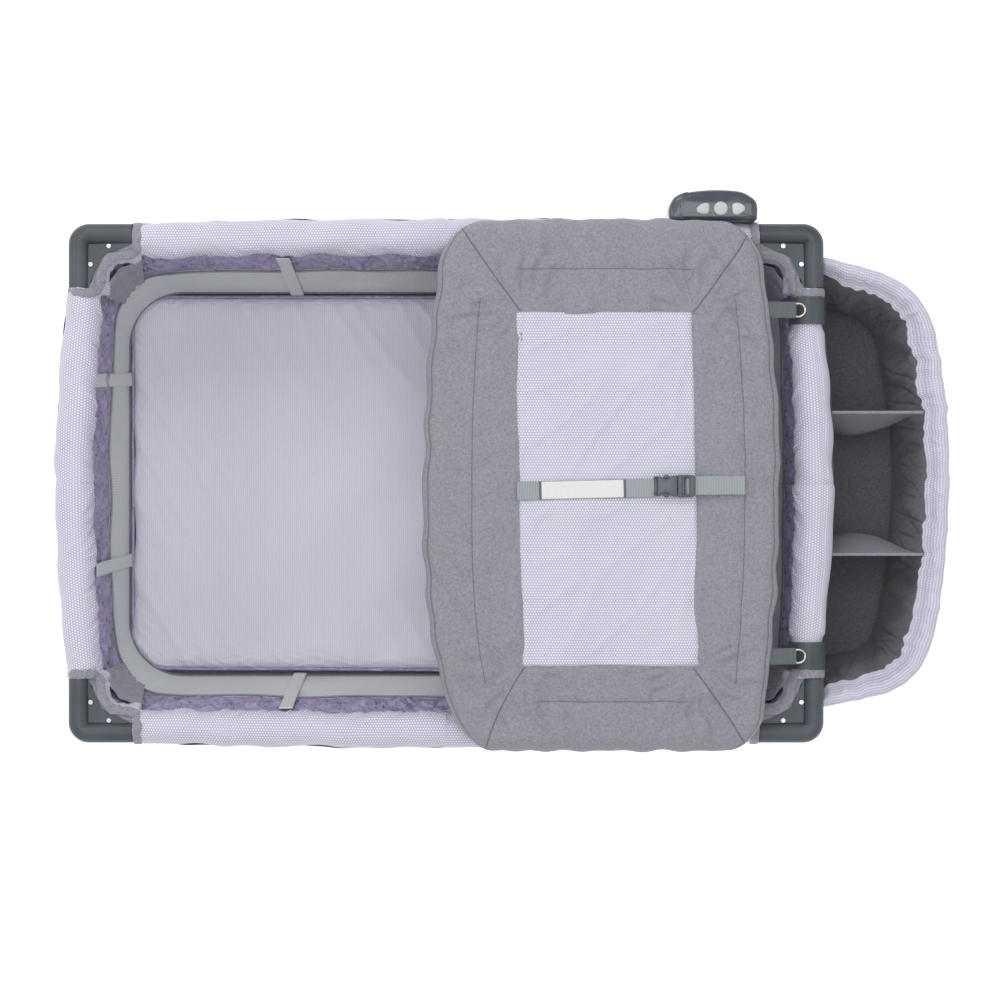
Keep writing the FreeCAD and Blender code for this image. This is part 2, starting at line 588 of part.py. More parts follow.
def organiser():
    """A D-shaped fabric caddy with two dividers, on loops that hang over the rail sleeve."""
    tall = "bag_top - bag_low"
    shell = cut(bag_outline("0", "bag_low", tall),
                bag_outline("bag_wall", "bag_low + bag_wall", tall))
    dividers = [box(("bag_out - bag_in - 2", "bag_wall", f"{tall} - divider_drop"),
                    ("bag_in + 1", f"{sy} * divider_y - bag_wall / 2", "bag_low + 1"))
                for sy in (-1, 1)]
    hangers = []
    for sy in (-1, 1):
        low = f"{sy} * hanger_at - hanger_w / 2"
        at = ("leg_x - sleeve_in", low, "rail_z")
        ring = cut(rod("hanger_r", "hanger_w", at, "y"), rod("clip_in", "hanger_w", at, "y"))
        below = box(("2 * hanger_r + 2", "hanger_w + 2", "2 * hanger_r"),
                    ("leg_x - sleeve_in - hanger_r - 1", f"{low} - 1",
                     "rail_z - hanger_low - 2 * hanger_r"))
        outside = "leg_x - sleeve_in + hanger_r - hanger_in"
        hangers.append(cut(ring, below))
        hangers.append(box((f"bag_in + hanger_in - ({outside})", "hanger_w", "hanger_t"),
                           (outside, low, "bag_top - hanger_t")))
    node("organiser_shell", fuse(shell, *dividers, *hangers))


def check_and_write():
    """Stop on any failed object or bad shape, then write one file for each sub-part."""
    DOC.recompute()
    for obj in DOC.Objects:
        if {"Invalid", "Error"} & set(obj.State):
            raise RuntimeError(f"{obj.Name} ({obj.Label}) did not compute: {obj.State}")
    os.makedirs("parts", exist_ok=True)
    for obj in FINISHED:
        if obj.Shape.isNull() or not obj.Shape.isValid() or obj.Shape.Volume <= 0:
            raise RuntimeError(f"{obj.Label} has no valid solid")
        obj.Shape.exportStep(f"parts/{obj.Label}.step")
    print(len(FINISHED), "sub-parts written")


fill_sheet()
for build in (legs, castings, feet, pins, wheels, half_rails, brackets, floor_mechanism, covers,
              bassinet, changer, module, organiser):
    build()
check_and_write()
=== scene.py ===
"""Playpen with a bassinet, a changer and an organiser: its fabrics, straps and finishes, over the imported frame."""

import json

import bmesh
import bpy
import numpy as np
from bpy.props import FloatProperty, FloatVectorProperty, PointerProperty
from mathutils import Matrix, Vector

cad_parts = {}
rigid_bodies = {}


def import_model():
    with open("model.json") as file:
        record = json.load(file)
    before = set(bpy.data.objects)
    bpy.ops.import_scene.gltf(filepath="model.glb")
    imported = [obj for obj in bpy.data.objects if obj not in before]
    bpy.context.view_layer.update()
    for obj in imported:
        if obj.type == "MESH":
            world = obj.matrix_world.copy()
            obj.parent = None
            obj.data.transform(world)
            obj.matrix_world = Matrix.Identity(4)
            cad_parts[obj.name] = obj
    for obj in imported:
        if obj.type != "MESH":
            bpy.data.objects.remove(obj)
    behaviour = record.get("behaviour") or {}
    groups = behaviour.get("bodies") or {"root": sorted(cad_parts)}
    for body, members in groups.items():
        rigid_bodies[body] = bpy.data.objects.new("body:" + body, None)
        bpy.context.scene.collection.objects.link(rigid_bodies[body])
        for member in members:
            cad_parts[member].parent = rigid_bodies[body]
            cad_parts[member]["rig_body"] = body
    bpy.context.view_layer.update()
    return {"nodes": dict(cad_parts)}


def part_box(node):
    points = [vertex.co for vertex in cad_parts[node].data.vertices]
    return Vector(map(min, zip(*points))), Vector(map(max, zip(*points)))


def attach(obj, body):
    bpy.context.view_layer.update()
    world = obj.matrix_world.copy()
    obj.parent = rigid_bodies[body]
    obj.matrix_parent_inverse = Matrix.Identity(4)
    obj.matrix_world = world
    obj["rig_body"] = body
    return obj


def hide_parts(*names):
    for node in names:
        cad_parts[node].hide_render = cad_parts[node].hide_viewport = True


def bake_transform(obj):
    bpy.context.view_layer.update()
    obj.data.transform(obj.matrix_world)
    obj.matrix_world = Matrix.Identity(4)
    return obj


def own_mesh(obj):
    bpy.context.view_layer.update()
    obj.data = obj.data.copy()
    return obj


bl_info = {
    "name": "Playpen",
    "version": (1, 0, 0),
    "blender": (4, 5, 0),
    "location": "3D View > Sidebar > Playpen",
    "description": "Dresses the folding frame of a playpen with its fabrics, straps and finishes",
    "category": "Add Mesh",
}

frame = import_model()

SIDES = (1, -1)
RAIL_Z = 700.0                  # height of the rails' centre lines, mm
LONG_RAIL, SHORT_RAIL = 334.0, 496.0   # sleeves' centre lines: their Y on the long sides, their X on the short
LONG_END, SHORT_END = 429.0, 267.0     # where the sleeves stop at the corner castings
OUTER_X, OUTER_Y = 518.0, 356.0        # outer faces of the corner castings


# Numbers and shapes

def linear(hex_colour):
    """Linear red, green, blue and alpha 1 of an sRGB hex colour."""
    srgb = np.array([int(hex_colour[i:i + 2], 16) for i in (1, 3, 5)]) / 255
    return (*np.where(srgb <= 0.04045, srgb / 12.92, ((srgb + 0.055) / 1.055) ** 2.4), 1.0)


def waves(seed, length, *coords, count=9):
    """Soft uneven waves from about -1 to 1: the sum of sines that run in seeded directions, about `length` long."""
    rng = np.random.default_rng(seed)
    way = rng.normal(size=(count, len(coords)))
    way *= 2 * np.pi / (length * rng.uniform(0.7, 1.5, count) * np.linalg.norm(way, axis=1))[:, None]
    start = rng.uniform(0, 2 * np.pi, count)
    place = np.stack(np.broadcast_arrays(*coords), -1)
    return np.sin(place @ way.T + start).sum(-1) / np.sqrt(count)


def creases(seed, length, *coords):
    """Narrow folds from 0 to 1: 1 less the size of the waves, sharpened, so that the crests are thin lines."""
    return np.clip(1 - np.abs(waves(seed, length, *coords)) * 1.6, 0, 1) ** 2


def bump(x, middle, half):
    """A smooth hill of height 1 at `middle` that reaches 0 at `half` to each side: (1 - t^2)^2."""
    return np.clip(1 - ((x - middle) / half) ** 2, 0, 1) ** 2


def step(x, low, high):
    """0 below `low`, 1 above `high`, and 3t^2 - 2t^3 between them."""
    t = np.clip((x - low) / (high - low), 0, 1)
    return t * t * (3 - 2 * t)


def curve(points, count, closed=False):
    """A smooth line through the points: each stretch is the Catmull-Rom cubic of its ends and their neighbours."""
    p = np.array(points, float)
    if closed:
        q = np.vstack([p[-1:], p, p[:2]])
    else:
        q = np.vstack([2 * p[:1] - p[1:2], p, 2 * p[-1:] - p[-2:-1]])
    t = np.linspace(0, len(q) - 3, count)
    k = np.minimum(t.astype(int), len(q) - 4)
    f = (t - k)[:, None]
    a, b, c, d = q[k], q[k + 1], q[k + 2], q[k + 3]
    return 0.5 * (2 * b + (c - a) * f + (2 * a - 5 * b + 4 * c - d) * f ** 2 + (3 * b - a - 3 * c + d) * f ** 3)


def evenly(path, count):
    """The path again with `count` points at equal distances along it."""
    along = np.append(0, np.cumsum(np.linalg.norm(np.diff(path, axis=0), axis=1)))
    places = np.linspace(0, along[-1], count)
    return np.stack([np.interp(places, along, path[:, i]) for i in range(path.shape[1])], -1)


def oval(width, height, power=2.0, count=24):
    """A closed profile, |x / a|^power + |y / b|^power = 1: power 2 is an ellipse, and 6 nearly a rectangle."""
    turn = np.linspace(0, 2 * np.pi, count + 1)
    c, s = np.cos(turn), np.sin(turn)
    return np.stack([width / 2 * np.sign(c) * np.abs(c) ** (2 / power),
                     height / 2 * np.sign(s) * np.abs(s) ** (2 / power)], -1)


def box_ring(count, half_x, half_y, corner):
    """Places round a rounded rectangle, evenly spaced: shares ex and ey of its straight halves, and the direction
    nx, ny that it faces, so that a point is (ex (half_x - r) + r nx, ey (half_y - r) + r ny)."""
    sx, sy, c = half_x - corner, half_y - corner, np.pi / 2 * corner
    at = np.cumsum([0, sy, c, 2 * sx, c, 2 * sy, c, 2 * sx, c, sy])
    s = np.linspace(0, at[-1], count)
    ex = np.interp(s, at, [1, 1, 1, -1, -1, -1, -1, 1, 1, 1])
    ey = np.interp(s, at, [0, 1, 1, 1, 1, -1, -1, -1, -1, 0])
    turn = np.radians(np.interp(s, at, [0, 0, 90, 90, 180, 180, 270, 270, 360, 360]))
    return s, ex, ey, np.cos(turn), np.sin(turn)


# Surfaces: each is (points in mm as rows x columns x 3, cloth coordinates in mm as rows x columns x 2, turned over)

def sweep(path, profile, up=(0, 0, 1), capped=True, flip=False):
    """A profile carried along a path: path + x side + y top, where side is square to the run and to `up`.
    A capped one closes at each end on the path."""
    run = np.gradient(path, axis=0)
    run /= np.linalg.norm(run, axis=1, keepdims=True)
    side = np.cross(run, np.broadcast_to(up, run.shape))
    side /= np.linalg.norm(side, axis=1, keepdims=True)
    top = np.cross(side, run)
    loop = np.broadcast_to(profile, (len(path), *np.shape(profile)[-2:]))
    points = path[:, None] + loop[..., :1] * side[:, None] + loop[..., 1:] * top[:, None]
    along = np.append(0, np.cumsum(np.linalg.norm(np.diff(path, axis=0), axis=1)))
    round_ = np.append(0, np.cumsum(np.linalg.norm(np.diff(loop[0], axis=0), axis=1)))
    cloth = np.stack(np.broadcast_arrays(along[:, None], round_[None]), -1)
    if capped:
        ends = [np.repeat(path[i:i + 1 or None, None], points.shape[1], 1) for i in (0, -1)]
        points = np.concatenate([ends[0], points, ends[1]])
        cloth = np.concatenate([cloth[:1], cloth, cloth[-1:]])
    return points, cloth, flip


def pebble(outline, low, high, edge, crown=0.0, steps=5, lower_edge=None):
    """A closed form over an outline that runs anticlockwise: its sides stand from `low` to `high`, drawn in along a
    quarter circle of radius `edge` at the top (lower_edge at the bottom), and the top rises by `crown` to its
    middle."""
    lower = edge if lower_edge is None else lower_edge
    loop = np.vstack([outline, outline[:1]]) if np.linalg.norm(outline[0] - outline[-1]) > 1e-6 else outline
    way = np.gradient(loop, axis=0)
    way[0] = way[-1] = loop[1] - loop[-2]
    out = np.stack([way[:, 1], -way[:, 0]], -1) / np.linalg.norm(way, axis=1, keepdims=True)
    turn = np.linspace(0, np.pi / 2, steps)
    inset = np.concatenate([[lower], lower * (1 - np.sin(turn)), edge * (1 - np.cos(turn))])
    z = np.concatenate([[low], low + lower * (1 - np.cos(turn)), high - edge + edge * np.sin(turn)])
    rings = loop - inset[:, None, None] * out
    middle = loop[:-1].mean(0)
    shares = np.array([0.75, 0.5, 0.25, 0.0])
    inner = middle + shares[:, None, None] * (rings[-1] - middle)
    rings = np.concatenate([middle + 0 * rings[:1], rings, inner])
    z = np.concatenate([[low], z, high + crown * (1 - shares ** 2)])
    points = np.concatenate([rings, np.broadcast_to(z[:, None, None], (*rings.shape[:2], 1))], -1)
    return points, rings, True


def edge_distance(x, y, half_x, half_y, corner):
    """How far (x, y) lies inside a rounded rectangle's edge."""
    qx, qy = np.abs(x) - (half_x - corner), np.abs(y) - (half_y - corner)
    return corner - np.hypot(np.maximum(qx, 0), np.maximum(qy, 0)) - np.minimum(np.maximum(qx, qy), 0)


def pad_grid(half_x, half_y, corner, rows, columns, ease=0.6):
    """Points over a rounded rectangle, closer together towards its edges: rows in Y, each from side to side in X.
    Also their distance from the edge."""
    def spaced(count):
        t = np.linspace(-1, 1, count)
        return (1 - ease) * t + ease * np.sin(t * np.pi / 2)
    y = half_y * spaced(rows)
    beyond = np.clip(np.abs(y) - (half_y - corner), 0, corner)
    reach = half_x - corner + np.sqrt(corner ** 2 - beyond ** 2)
    x, y = reach[:, None] * spaced(columns), np.repeat(y[:, None], columns, 1)
    return x, y, edge_distance(x, y, half_x, half_y, corner)


def pad_surfaces(x, y, top, bottom, cloth=None):
    """The upper and lower surface of a pad over one grid, which meet where top and bottom are equal."""
    flat = np.stack([x, y], -1) if cloth is None else cloth
    return [(np.stack([x, y, top], -1), flat, True), (np.stack([x, y, bottom], -1), flat, False)]


def swelling(distance, edge):
    """0 at the edge and 1 further in than `edge`, with a quarter ellipse between: sqrt(1 - (1 - d / edge)^2)."""
    return np.sqrt(1 - (1 - np.clip(distance / edge, 0, 1)) ** 2)


def make(name, surfaces, finish, thickness=0.0, attributes=None):
    """One object from surfaces, welded where they meet, with a "cloth" UV map in metres along and across the fabric."""
    points, cloth, faces, count = [], [], [], 0
    for place, flat, flip in surfaces:
        rows, columns = place.shape[:2]
        i, j = np.arange(rows - 1)[:, None] * columns, np.arange(columns - 1)
        quads = np.stack([i + j, i + columns + j, i + columns + j + 1, i + j + 1], -1).reshape(-1, 4)
        faces.append((quads[:, ::-1] if flip else quads) + count)
        points.append(place.reshape(-1, 3))
        cloth.append(np.broadcast_to(flat, (rows, columns, 2)).reshape(-1, 2))
        count += rows * columns
    points, cloth, faces = (np.concatenate(part) for part in (points, cloth, faces))
    mesh = bpy.data.meshes.new(name)
    mesh.from_pydata((points * 0.001).tolist(), [], faces.tolist())
    uv = mesh.uv_layers.new(name="cloth")
    uv.data.foreach_set("uv", (cloth[faces.ravel()] * 0.001).astype(np.float32).ravel())
    for label, values in (attributes or {}).items():
        layer = mesh.attributes.new(label, "FLOAT", "POINT")
        layer.data.foreach_set("value", np.concatenate([v.ravel() for v in values]).astype(np.float32))
    welded = bmesh.new()
    welded.from_mesh(mesh)
    bmesh.ops.remove_doubles(welded, verts=welded.verts, dist=2e-6)
    bmesh.ops.dissolve_degenerate(welded, edges=welded.edges, dist=1e-7)
    welded.to_mesh(mesh)
    welded.free()
    mesh.shade_smooth()
    made = bpy.data.objects.new(name, mesh)
    bpy.context.scene.collection.objects.link(made)
    mesh.materials.append(finish)
    if thickness:
        wall = made.modifiers.new("Thickness", "SOLIDIFY")
        wall.thickness, wall.offset = thickness * 0.001, 0.0
    return made


def dress(body, node, *pieces):
    """Attaches each piece of the (piece, slot) pairs to the body that it rides on and hides the CAD node that it
    replaces; the slot is not used.
    """
    for piece, slot in pieces:
        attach(piece, body)
        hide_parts(node)


def sharpen(piece, degrees=40):
    """Keeps edges that turn by more than `degrees` crisp."""
    piece.data.set_sharp_from_angle(angle=np.radians(degrees))
    return piece


# Finishes

def add_node(tree, kind, inputs=None, **settings):
    """Adds a node of that kind, with its settings, and with its inputs set or linked by name or number."""
    made = tree.nodes.new(kind)
    for name, value in settings.items():
        setattr(made, name, value)
    for socket, value in (inputs or {}).items():
        if isinstance(value, bpy.types.NodeSocket):
            tree.links.new(value, made.inputs[socket])
        else:
            made.inputs[socket].default_value = value
    return made


def new_finish(name, **sockets):
    """A material with its shader's own sockets set; an underscore in a name stands for a space."""
    made = bpy.data.materials.new(name)
    made.use_nodes = True
    shader = made.node_tree.nodes["Principled BSDF"]
    for socket, value in sockets.items():
        shader.inputs[socket.replace("_", " ")].default_value = value
    return made, made.node_tree, shader


def dot_field(tree, place, pitch):
    """Staggered round dots `pitch` mm apart, from about -0.5 between them to 1 on them: a third of the sum of three
    cosines whose ways are 60 degrees apart."""
    total = None
    for x, y in ((0, 1), (0.9945, 0.5), (0.9945, -0.5)):
        turn = 2 * np.pi * 1000 / pitch
        along = add_node(tree, "ShaderNodeVectorMath", {0: place, 1: (x * turn, y * turn, 0)},
                         operation="DOT_PRODUCT").outputs["Value"]
        wave = add_node(tree, "ShaderNodeMath", {0: along}, operation="COSINE").outputs[0]
        total = wave if total is None else add_node(tree, "ShaderNodeMath", {0: total, 1: wave}).outputs[0]
    return add_node(tree, "ShaderNodeMath", {0: total, 1: 3.0}, operation="DIVIDE").outputs[0]


def honeycomb_fabric(name, pitch, pale=0.0):
    """Polyester jacquard with a honeycomb of raised white dots on a lavender ground: matt, with a soft sheen. `pale`
    is the share of white in the ground."""
    made, tree, shader = new_finish(name, Roughness=0.8, Sheen_Weight=0.25, Sheen_Roughness=0.5)
    colours = bpy.context.scene.playpen_colours
    cloth = add_node(tree, "ShaderNodeUVMap", uv_map="cloth").outputs[0]
    dots = dot_field(tree, cloth, pitch)
    share = add_node(tree, "ShaderNodeMapRange", {0: dots, 1: -0.35, 2: 0.55, 3: pale},
                     interpolation_type="SMOOTHSTEP")
    tone = add_node(tree, "ShaderNodeTexNoise", {"Vector": cloth, "Scale": 9.0, "Detail": 3.0})
    ground = add_node(tree, "ShaderNodeMix", {0: tone.outputs[0], 6: colours.honeycomb_ground,
                                              7: colours.honeycomb_ground_light}, data_type="RGBA")
    mixed = add_node(tree, "ShaderNodeMix", {0: share.outputs[0], 6: ground.outputs[2],
                                             7: colours.honeycomb_dots}, data_type="RGBA")
    relief = add_node(tree, "ShaderNodeBump", {"Height": dots, "Distance": 0.0003, "Strength": 0.6})
    tree.links.new(mixed.outputs[2], shader.inputs["Base Color"])
    tree.links.new(relief.outputs[0], shader.inputs["Normal"])
    return made


def heather_fabric(name, dark, light, sewn=False):
    """Melange polyester canvas, dark and light yarns crossing at random: blotches of 1 to 2 mm over short streaks.
    The sewn one also draws its seams and stitches, from the distances that its mesh carries."""
    made, tree, shader = new_finish(name, Roughness=0.92, Sheen_Weight=0.2, Sheen_Roughness=0.6)
    place = add_node(tree, "ShaderNodeTexCoord").outputs["Object"]
    level = None
    for streak, share in (((1150, 400, 600), 0.4), ((400, 1150, 600), 0.4), ((240, 240, 240), 0.35)):
        yarn = add_node(tree, "ShaderNodeVectorMath", {0: place, 1: streak}, operation="MULTIPLY").outputs[0]
        noise = add_node(tree, "ShaderNodeTexNoise", {"Vector": yarn, "Scale": 1.0, "Detail": 2.0,
                                                      "Roughness": 0.7}).outputs[0]
        part = add_node(tree, "ShaderNodeMath", {0: noise, 1: share}, operation="MULTIPLY").outputs[0]
        level = part if level is None else add_node(tree, "ShaderNodeMath", {0: level, 1: part}).outputs[0]
    share = add_node(tree, "ShaderNodeMapRange", {0: level, 1: 0.40, 2: 0.75}).outputs[0]
    mixed = add_node(tree, "ShaderNodeMix", {0: share, 6: linear(dark), 7: linear(light)}, data_type="RGBA").outputs[2]
    height = add_node(tree, "ShaderNodeMath", {0: level, 1: 0.0004}, operation="MULTIPLY").outputs[0]
    if sewn:
        line = None
        for label, half, depth in (("mitre", 0.9, 0.6), ("bound_edge", 1.0, 0.5), ("stitches", 0.7, 0.45)):
            off = add_node(tree, "ShaderNodeAttribute", attribute_name=label).outputs["Fac"]
            near = add_node(tree, "ShaderNodeMath", {0: off}, operation="ABSOLUTE").outputs[0]
            drawn = add_node(tree, "ShaderNodeMapRange", {0: near, 1: half * 0.4, 2: half * 1.5, 3: depth, 4: 0.0})
            line = drawn.outputs[0] if line is None else add_node(
                tree, "ShaderNodeMath", {0: line, 1: drawn.outputs[0]}, operation="MAXIMUM").outputs[0]
        mixed = add_node(tree, "ShaderNodeMix", {0: line, 6: mixed, 7: linear("#4a4952")}, data_type="RGBA").outputs[2]
        sunk = add_node(tree, "ShaderNodeMath", {0: line, 1: -0.0012}, operation="MULTIPLY").outputs[0]
        height = add_node(tree, "ShaderNodeMath", {0: height, 1: sunk}).outputs[0]
    relief = add_node(tree, "ShaderNodeBump", {"Height": height, "Distance": 1.0, "Strength": 0.9})
    tree.links.new(mixed, shader.inputs["Base Color"])
    tree.links.new(relief.outputs[0], shader.inputs["Normal"])
    return made


def crinkled_satin():
    """Thin satin nylon, calendered: a soft shine that breaks up on crushed facets 10 to 30 mm across."""
    made, tree, shader = new_finish("Satin_nylon", Roughness=0.36, Sheen_Weight=0.15, Specular_IOR_Level=0.7)
    place = add_node(tree, "ShaderNodeTexCoord").outputs["Object"]
    crush = add_node(tree, "ShaderNodeTexVoronoi", {"Vector": place, "Scale": 34.0}, distance="EUCLIDEAN").outputs[0]
    soft = add_node(tree, "ShaderNodeTexNoise", {"Vector": place, "Scale": 60.0, "Detail": 3.0,
                                                 "Distortion": 1.2}).outputs[0]
    both = add_node(tree, "ShaderNodeMath", {0: crush, 1: soft}).outputs[0]
    tone = add_node(tree, "ShaderNodeMix", {0: soft, 6: linear("#9a8eb8"), 7: linear("#c0b5d8")}, data_type="RGBA")
    relief = add_node(tree, "ShaderNodeBump", {"Height": both, "Distance": 0.009, "Strength": 0.9})
    tree.links.new(tone.outputs[2], shader.inputs["Base Color"])
    tree.links.new(relief.outputs[0], shader.inputs["Normal"])
    return made


def ribbed_fabric(name, dark, light, rib, rough=0.75):
    """Narrow woven or warp-knitted goods with ribs across them, `rib` mm apart: light on each rib, dark between."""
    made, tree, shader = new_finish(name, Roughness=rough, Sheen_Weight=0.2)
    cloth = add_node(tree, "ShaderNodeUVMap", uv_map="cloth").outputs[0]
    along = add_node(tree, "ShaderNodeVectorMath", {0: cloth, 1: (2 * np.pi * 1000 / rib, 0, 0)},
                     operation="DOT_PRODUCT").outputs["Value"]
    ribs = add_node(tree, "ShaderNodeMath", {0: along}, operation="COSINE").outputs[0]
    grain = add_node(tree, "ShaderNodeTexNoise", {"Vector": cloth, "Scale": 700.0, "Detail": 2.0}).outputs[0]
    level = add_node(tree, "ShaderNodeMath", {0: ribs, 1: 0.3, 2: grain}, operation="MULTIPLY_ADD").outputs[0]
    share = add_node(tree, "ShaderNodeMapRange", {0: level, 1: 0.15, 2: 0.85}).outputs[0]
    mixed = add_node(tree, "ShaderNodeMix", {0: share, 6: linear(dark), 7: linear(light)}, data_type="RGBA")
    relief = add_node(tree, "ShaderNodeBump", {"Height": level, "Distance": 0.0004, "Strength": 0.7})
    tree.links.new(mixed.outputs[2], shader.inputs["Base Color"])
    tree.links.new(relief.outputs[0], shader.inputs["Normal"])
    return made


def netting():
    """Knitted polyester netting of the side windows: thin lavender yarn round open hexagonal holes. Real holes are
    about 2 mm; they are drawn 7 mm apart so that they show."""
    made, tree, shader = new_finish("Side_netting", Roughness=0.8, Base_Color=linear("#c9c7d8"))
    cloth = add_node(tree, "ShaderNodeUVMap", uv_map="cloth").outputs[0]
    holes = dot_field(tree, cloth, 7.0)
    yarn = add_node(tree, "ShaderNodeMapRange", {0: holes, 1: -0.12, 2: 0.12, 3: 1.0, 4: 0.0}).outputs[0]
    tree.links.new(yarn, shader.inputs["Alpha"])
    return made


def moulded_plastic(name, colour, worn, rough, grain=0.35, **sockets):
    """Moulded ABS or polypropylene: one colour through, a faint spark-eroded grain, slightly paler in broad
    patches."""
    made, tree, shader = new_finish(name, Roughness=rough, IOR=1.5, **sockets)
    place = add_node(tree, "ShaderNodeTexCoord").outputs["Object"]
    fine = add_node(tree, "ShaderNodeTexNoise", {"Vector": place, "Scale": 1500.0, "Detail": 2.0}).outputs[0]
    broad = add_node(tree, "ShaderNodeTexNoise", {"Vector": place, "Scale": 22.0, "Detail": 4.0}).outputs[0]
    share = add_node(tree, "ShaderNodeMapRange", {0: broad, 1: 0.3, 2: 0.75}).outputs[0]
    mixed = add_node(tree, "ShaderNodeMix", {0: share, 6: linear(colour), 7: linear(worn)}, data_type="RGBA")
    spread = add_node(tree, "ShaderNodeMapRange", {0: broad, 1: 0.2, 2: 0.8, 3: rough - 0.04, 4: rough + 0.06})
    relief = add_node(tree, "ShaderNodeBump", {"Height": fine, "Distance": 0.0001, "Strength": grain})
    tree.links.new(mixed.outputs[2], shader.inputs["Base Color"])
    tree.links.new(spread.outputs[0], shader.inputs["Roughness"])
    tree.links.new(relief.outputs[0], shader.inputs["Normal"])
    return made


def coated_metal(name, colour, metallic, rough, scale=160.0):
    """Steel, powder coated or zinc plated: fine orange peel and small changes in gloss."""
    made, tree, shader = new_finish(name, Metallic=metallic)
    place = add_node(tree, "ShaderNodeTexCoord").outputs["Object"]
    peel = add_node(tree, "ShaderNodeTexNoise", {"Vector": place, "Scale": scale, "Detail": 3.0}).outputs[0]
    gloss = add_node(tree, "ShaderNodeMapRange", {0: peel, 1: 0.3, 2: 0.7, 3: rough - 0.06, 4: rough + 0.08})
    shade = add_node(tree, "ShaderNodeMix", {0: peel, 6: linear(colour), 7: [min(1, c * 1.12) for c in linear(colour)]},
                     data_type="RGBA")
    relief = add_node(tree, "ShaderNodeBump", {"Height": peel, "Distance": 0.0002, "Strength": 0.3})
    tree.links.new(gloss.outputs[0], shader.inputs["Roughness"])
    tree.links.new(shade.outputs[2], shader.inputs["Base Color"])
    tree.links.new(relief.outputs[0], shader.inputs["Normal"])
    return made


def finish(name):
    """The material of that name, made the first time that it is asked for."""
    makers = {
        "Honeycomb_jacquard": lambda: honeycomb_fabric("Honeycomb_jacquard", 3.7),
        "Honeycomb_jacquard_fine": lambda: honeycomb_fabric("Honeycomb_jacquard_fine", 3.1, 0.45),
        "Heather_canvas": lambda: heather_fabric("Heather_canvas", "#7d7b84", "#aeacb6"),
        "Heather_canvas_sewn": lambda: heather_fabric("Heather_canvas_sewn", "#7d7b84", "#aeacb6", sewn=True),
        # a darker copy of the heather canvas: painted shade on the organiser's inner wall and back, and on the
        # bassinet's base under the mattress
        "Heather_canvas_painted_shade": lambda: heather_fabric("Heather_canvas_painted_shade", "#68646c", "#9c98a2"),
        "Satin_nylon": crinkled_satin,
        "Ribbed_mesh": lambda: ribbed_fabric("Ribbed_mesh", "#bfc5c7", "#e9ecec", 2.6),
        "Belt_webbing": lambda: ribbed_fabric("Belt_webbing", "#8b939a", "#b5bcc1", 2.2, 0.6),
        "Dark_webbing": lambda: ribbed_fabric("Dark_webbing", "#50575a", "#7a8284", 1.8, 0.65),
        "Woven_tape_label": lambda: ribbed_fabric("Woven_tape_label", "#e9e9e6", "#f8f8f6", 1.6, 0.6),
        "Side_netting": netting,
        "Slate_polypropylene": lambda: moulded_plastic("Slate_polypropylene", "#464d53", "#565f66", 0.42),
        "Dark_polypropylene": lambda: moulded_plastic("Dark_polypropylene", "#3b4045", "#4a5056", 0.45),
        "Buckle_acetal": lambda: moulded_plastic("Buckle_acetal", "#4d545c", "#666e77", 0.34),
        "Glossy_module_ABS": lambda: moulded_plastic("Glossy_module_ABS", "#434a53", "#4f5761", 0.2, 0.05,
                                                     Coat_Weight=0.5, Coat_Roughness=0.08),
        # a paler copy of the module plastic, for the painted reflection on the module's left end
        "Module_ABS_painted_reflection": lambda: moulded_plastic("Module_ABS_painted_reflection", "#4f5863", "#5d6671", 0.24, 0.05,
                                                   Coat_Weight=0.4, Coat_Roughness=0.1),
        "Silicone_keys": lambda: moulded_plastic("Silicone_keys", "#c9cfce", "#dfe3e2", 0.5),
        "Wheel_rubber": lambda: moulded_plastic("Wheel_rubber", "#26272a", "#34363a", 0.75, 0.6),
        "Powder_coated_tube": lambda: coated_metal("Powder_coated_tube", "#8d9197", 0.0, 0.4),
        "Zinc_plated_steel": lambda: coated_metal("Zinc_plated_steel", "#c8cbcf", 1.0, 0.28, 400.0),
        "Brass_washed_wire": lambda: coated_metal("Brass_washed_wire", "#cdc6b4", 1.0, 0.25, 500.0),
    }
    return bpy.data.materials.get(name) or makers[name]()


# What a user may change

class PlaypenColours(bpy.types.PropertyGroup):
    """Colours of the fabrics that cover most of the playpen"""

    honeycomb_dots: FloatVectorProperty(
        name="Honeycomb dots", description="Raised dots of the jacquard", subtype="COLOR", size=4,
        min=0, max=1, default=linear("#f7f6fd"))
    honeycomb_ground: FloatVectorProperty(
        name="Honeycomb ground", description="Jacquard between its dots", subtype="COLOR", size=4,
        min=0, max=1, default=linear("#b7b4d0"))
    honeycomb_ground_light: FloatVectorProperty(
        name="Light ground", description="Where the ground is palest", subtype="COLOR", size=4,
        min=0, max=1, default=linear("#cbc9df"))
    floor: FloatVectorProperty(
        name="Floor", description="The studio floor", subtype="COLOR", size=4,
        min=0, max=1, default=linear("#fbfbfb"))


class PlaypenSizes(bpy.types.PropertyGroup):
    """Sizes of the soft pieces, in metres"""

    sleeve_radius: FloatProperty(
        name="Sleeve radius", description="Foam sleeve round a rail, from its middle to the cloth",
        unit="LENGTH", default=0.0232, min=0.018, max=0.03)
    left_bow: FloatProperty(
        name="Left bow", description="How far the left sleeve's middle stands out beyond its ends",
        unit="LENGTH", default=0.0175, min=0, max=0.03)
    right_bow: FloatProperty(
        name="Right bow", description="How far the right sleeve's middle stands out beyond its ends",
        unit="LENGTH", default=0.0115, min=0, max=0.03)
    long_bow: FloatProperty(
        name="Long side bow", description="How far the front and back sleeves stand out in the middle",
        unit="LENGTH", default=0.006, min=0, max=0.02)
    wrinkle: FloatProperty(
        name="Wrinkle depth", description="Height of the folds in the covers",
        unit="LENGTH", default=0.0021, min=0, max=0.004)
    lamp_power: FloatProperty(
        name="Lamp power", description="Power of each studio lamp", unit="POWER", default=17.0, min=0, max=400)
    sky: FloatProperty(
        name="Sky", description="Strength of the even white light all round", default=0.45, min=0, max=4)


